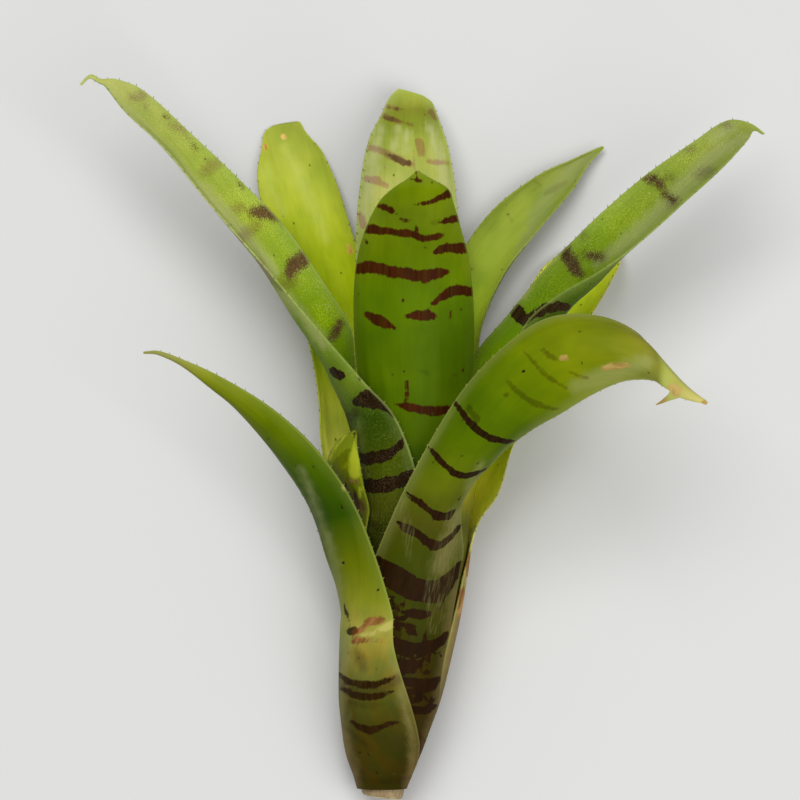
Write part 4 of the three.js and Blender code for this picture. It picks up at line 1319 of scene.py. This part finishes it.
    # A waxy skin, duller where it is dry or scurfy.
    waxy = map_range(tree, mottle["Fine"], 0.3, 0.75, 0.42, 0.56)
    rough = times_plus(tree, scurf, 0.25, times_plus(tree, dry, 0.2, waxy))
    tree.links.new(rough, shader.inputs["Roughness"])
    relief = times_plus(tree, scurf, 0.35, veins)
    bump = {"Strength": 0.28, "Distance": LEAF_RELIEF, "Height": relief}
    tree.links.new(add(tree, "ShaderNodeBump", bump).outputs[0], shader.inputs["Normal"])
    shader.inputs["Specular IOR Level"].default_value = LEAF_SHINE
    if leaf["through"]:
        # A thin yellow leaf lets some of the light through.
        shader.inputs["Subsurface Weight"].default_value = leaf["through"]
        shader.inputs["Subsurface Radius"].default_value = (1, 1, 0.2)
        shader.inputs["Subsurface Scale"].default_value = LIGHT_REACH
    return material


def spine_material():
    """Brown and glossy, green at the foot."""
    material, tree, shader = new_material("spine")
    grain = noise_at(tree, object_place(tree), 900, 2)
    brown = mix(tree, grain, SPINE_DARK, SPINE_LIGHT)
    along = map_range(tree, attribute(tree, "tip"), 0.3, 0.9)
    skin = mix(tree, along, SPINE_FOOT, brown)
    tree.links.new(skin, shader.inputs["Base Color"])
    shader.inputs["Roughness"].default_value = SPINE_ROUGHNESS
    return material


def stem_material():
    """Pale fibrous bark, and a cut face with the ends of the fibres in it."""
    material, tree, shader = new_material("stem_bark")
    place = object_place(tree)
    stretched = add(tree, "ShaderNodeMapping", {"Vector": place, "Scale": (1, 0.14, 1)}).outputs[0]
    fibres = noise_at(tree, stretched, 1500, 4)
    blots = map_range(tree, noise_at(tree, place, 320, 3), 0.45, 0.7, 0.0, 0.7)
    bark = mix(tree, blots, mix(tree, fibres, BARK_DARK, BARK_LIGHT), BARK_BLOT)
    cells = add(tree, "ShaderNodeTexVoronoi", {"Vector": place, "Scale": 1100})
    ends = map_range(tree, cells.outputs["Distance"], 0.15, 0.4)
    cut = mix(tree, ends, CUT_DARK, CUT_LIGHT)
    normal = add(tree, "ShaderNodeNewGeometry").outputs["True Normal"]
    facing = add(tree, "ShaderNodeSeparateXYZ", {"Vector": normal}).outputs["Y"]
    is_cut = map_range(tree, facing, -0.7, -0.9)
    tree.links.new(mix(tree, is_cut, bark, cut), shader.inputs["Base Color"])
    bump = {"Strength": 0.5, "Distance": STEM_RELIEF, "Height": fibres}
    tree.links.new(add(tree, "ShaderNodeBump", bump).outputs[0], shader.inputs["Normal"])
    shader.inputs["Roughness"].default_value = STEM_ROUGHNESS
    return material


# ---- the camera, the floor and the light ----

camera_data = bpy.data.cameras.new("camera")
camera_data.sensor_width = SENSOR
camera_data.lens = SENSOR / 2 * EYE_HEIGHT / (VIEW_CENTRE_X * VIEW_UNIT)
camera_data.clip_end = 20
camera = new_object("camera", camera_data)
camera.location = LAY_DOWN @ Vector((0, EYE_Y, EYE_HEIGHT))
camera.rotation_euler = (math.radians(CROWN_UP), 0, 0)
bpy.context.scene.camera = camera

floor_mesh = bpy.data.meshes.new("floor")
floor_bm = bmesh.new()
bmesh.ops.create_grid(floor_bm, x_segments=1, y_segments=1, size=FLOOR_HALF)
floor_bm.to_mesh(floor_mesh)
floor_bm.free()
floor = new_object("floor", floor_mesh)
floor_material, floor_tree, floor_shader = new_material("floor")
floor_shader.inputs["Base Color"].default_value = FLOOR_COLOUR
floor_shader.inputs["Roughness"].default_value = FLOOR_ROUGHNESS
floor_mesh.materials.append(floor_material)

world = bpy.data.worlds.new("studio")
world.use_nodes = True
sky = world.node_tree.nodes["Background"]
sky.inputs["Color"].default_value = WHITE
sky.inputs["Strength"].default_value = SKY_STRENGTH
bpy.context.scene.world = world
bpy.context.scene.view_settings.view_transform = "Standard"


def softbox(name, place, size, power):
    """A square light that looks at the middle of the plant."""
    light = bpy.data.lights.new(name, "AREA")
    light.size = size
    light.energy = power
    lamp = new_object(name, light)
    lamp.location = place
    lamp.rotation_euler = (Vector(LIGHT_AIM) - Vector(place)).to_track_quat("-Z", "Y").to_euler()


softbox("key", (-0.2, 0.35, 1.25), 0.8, 11.5)
softbox("fill", (0.5, -0.5, 1.05), 0.9, 8)

# ---- the plant ----

spine_skin = spine_material()
for leaf in LEAVES:
    skins = [leaf_skin(leaf, face) for face in ("outer", "inner")]
    line, length, sheath = leaf_piece(leaf, skins)
    spines_piece(leaf, line, length, sheath, spine_skin)
stem_piece(stem_material())
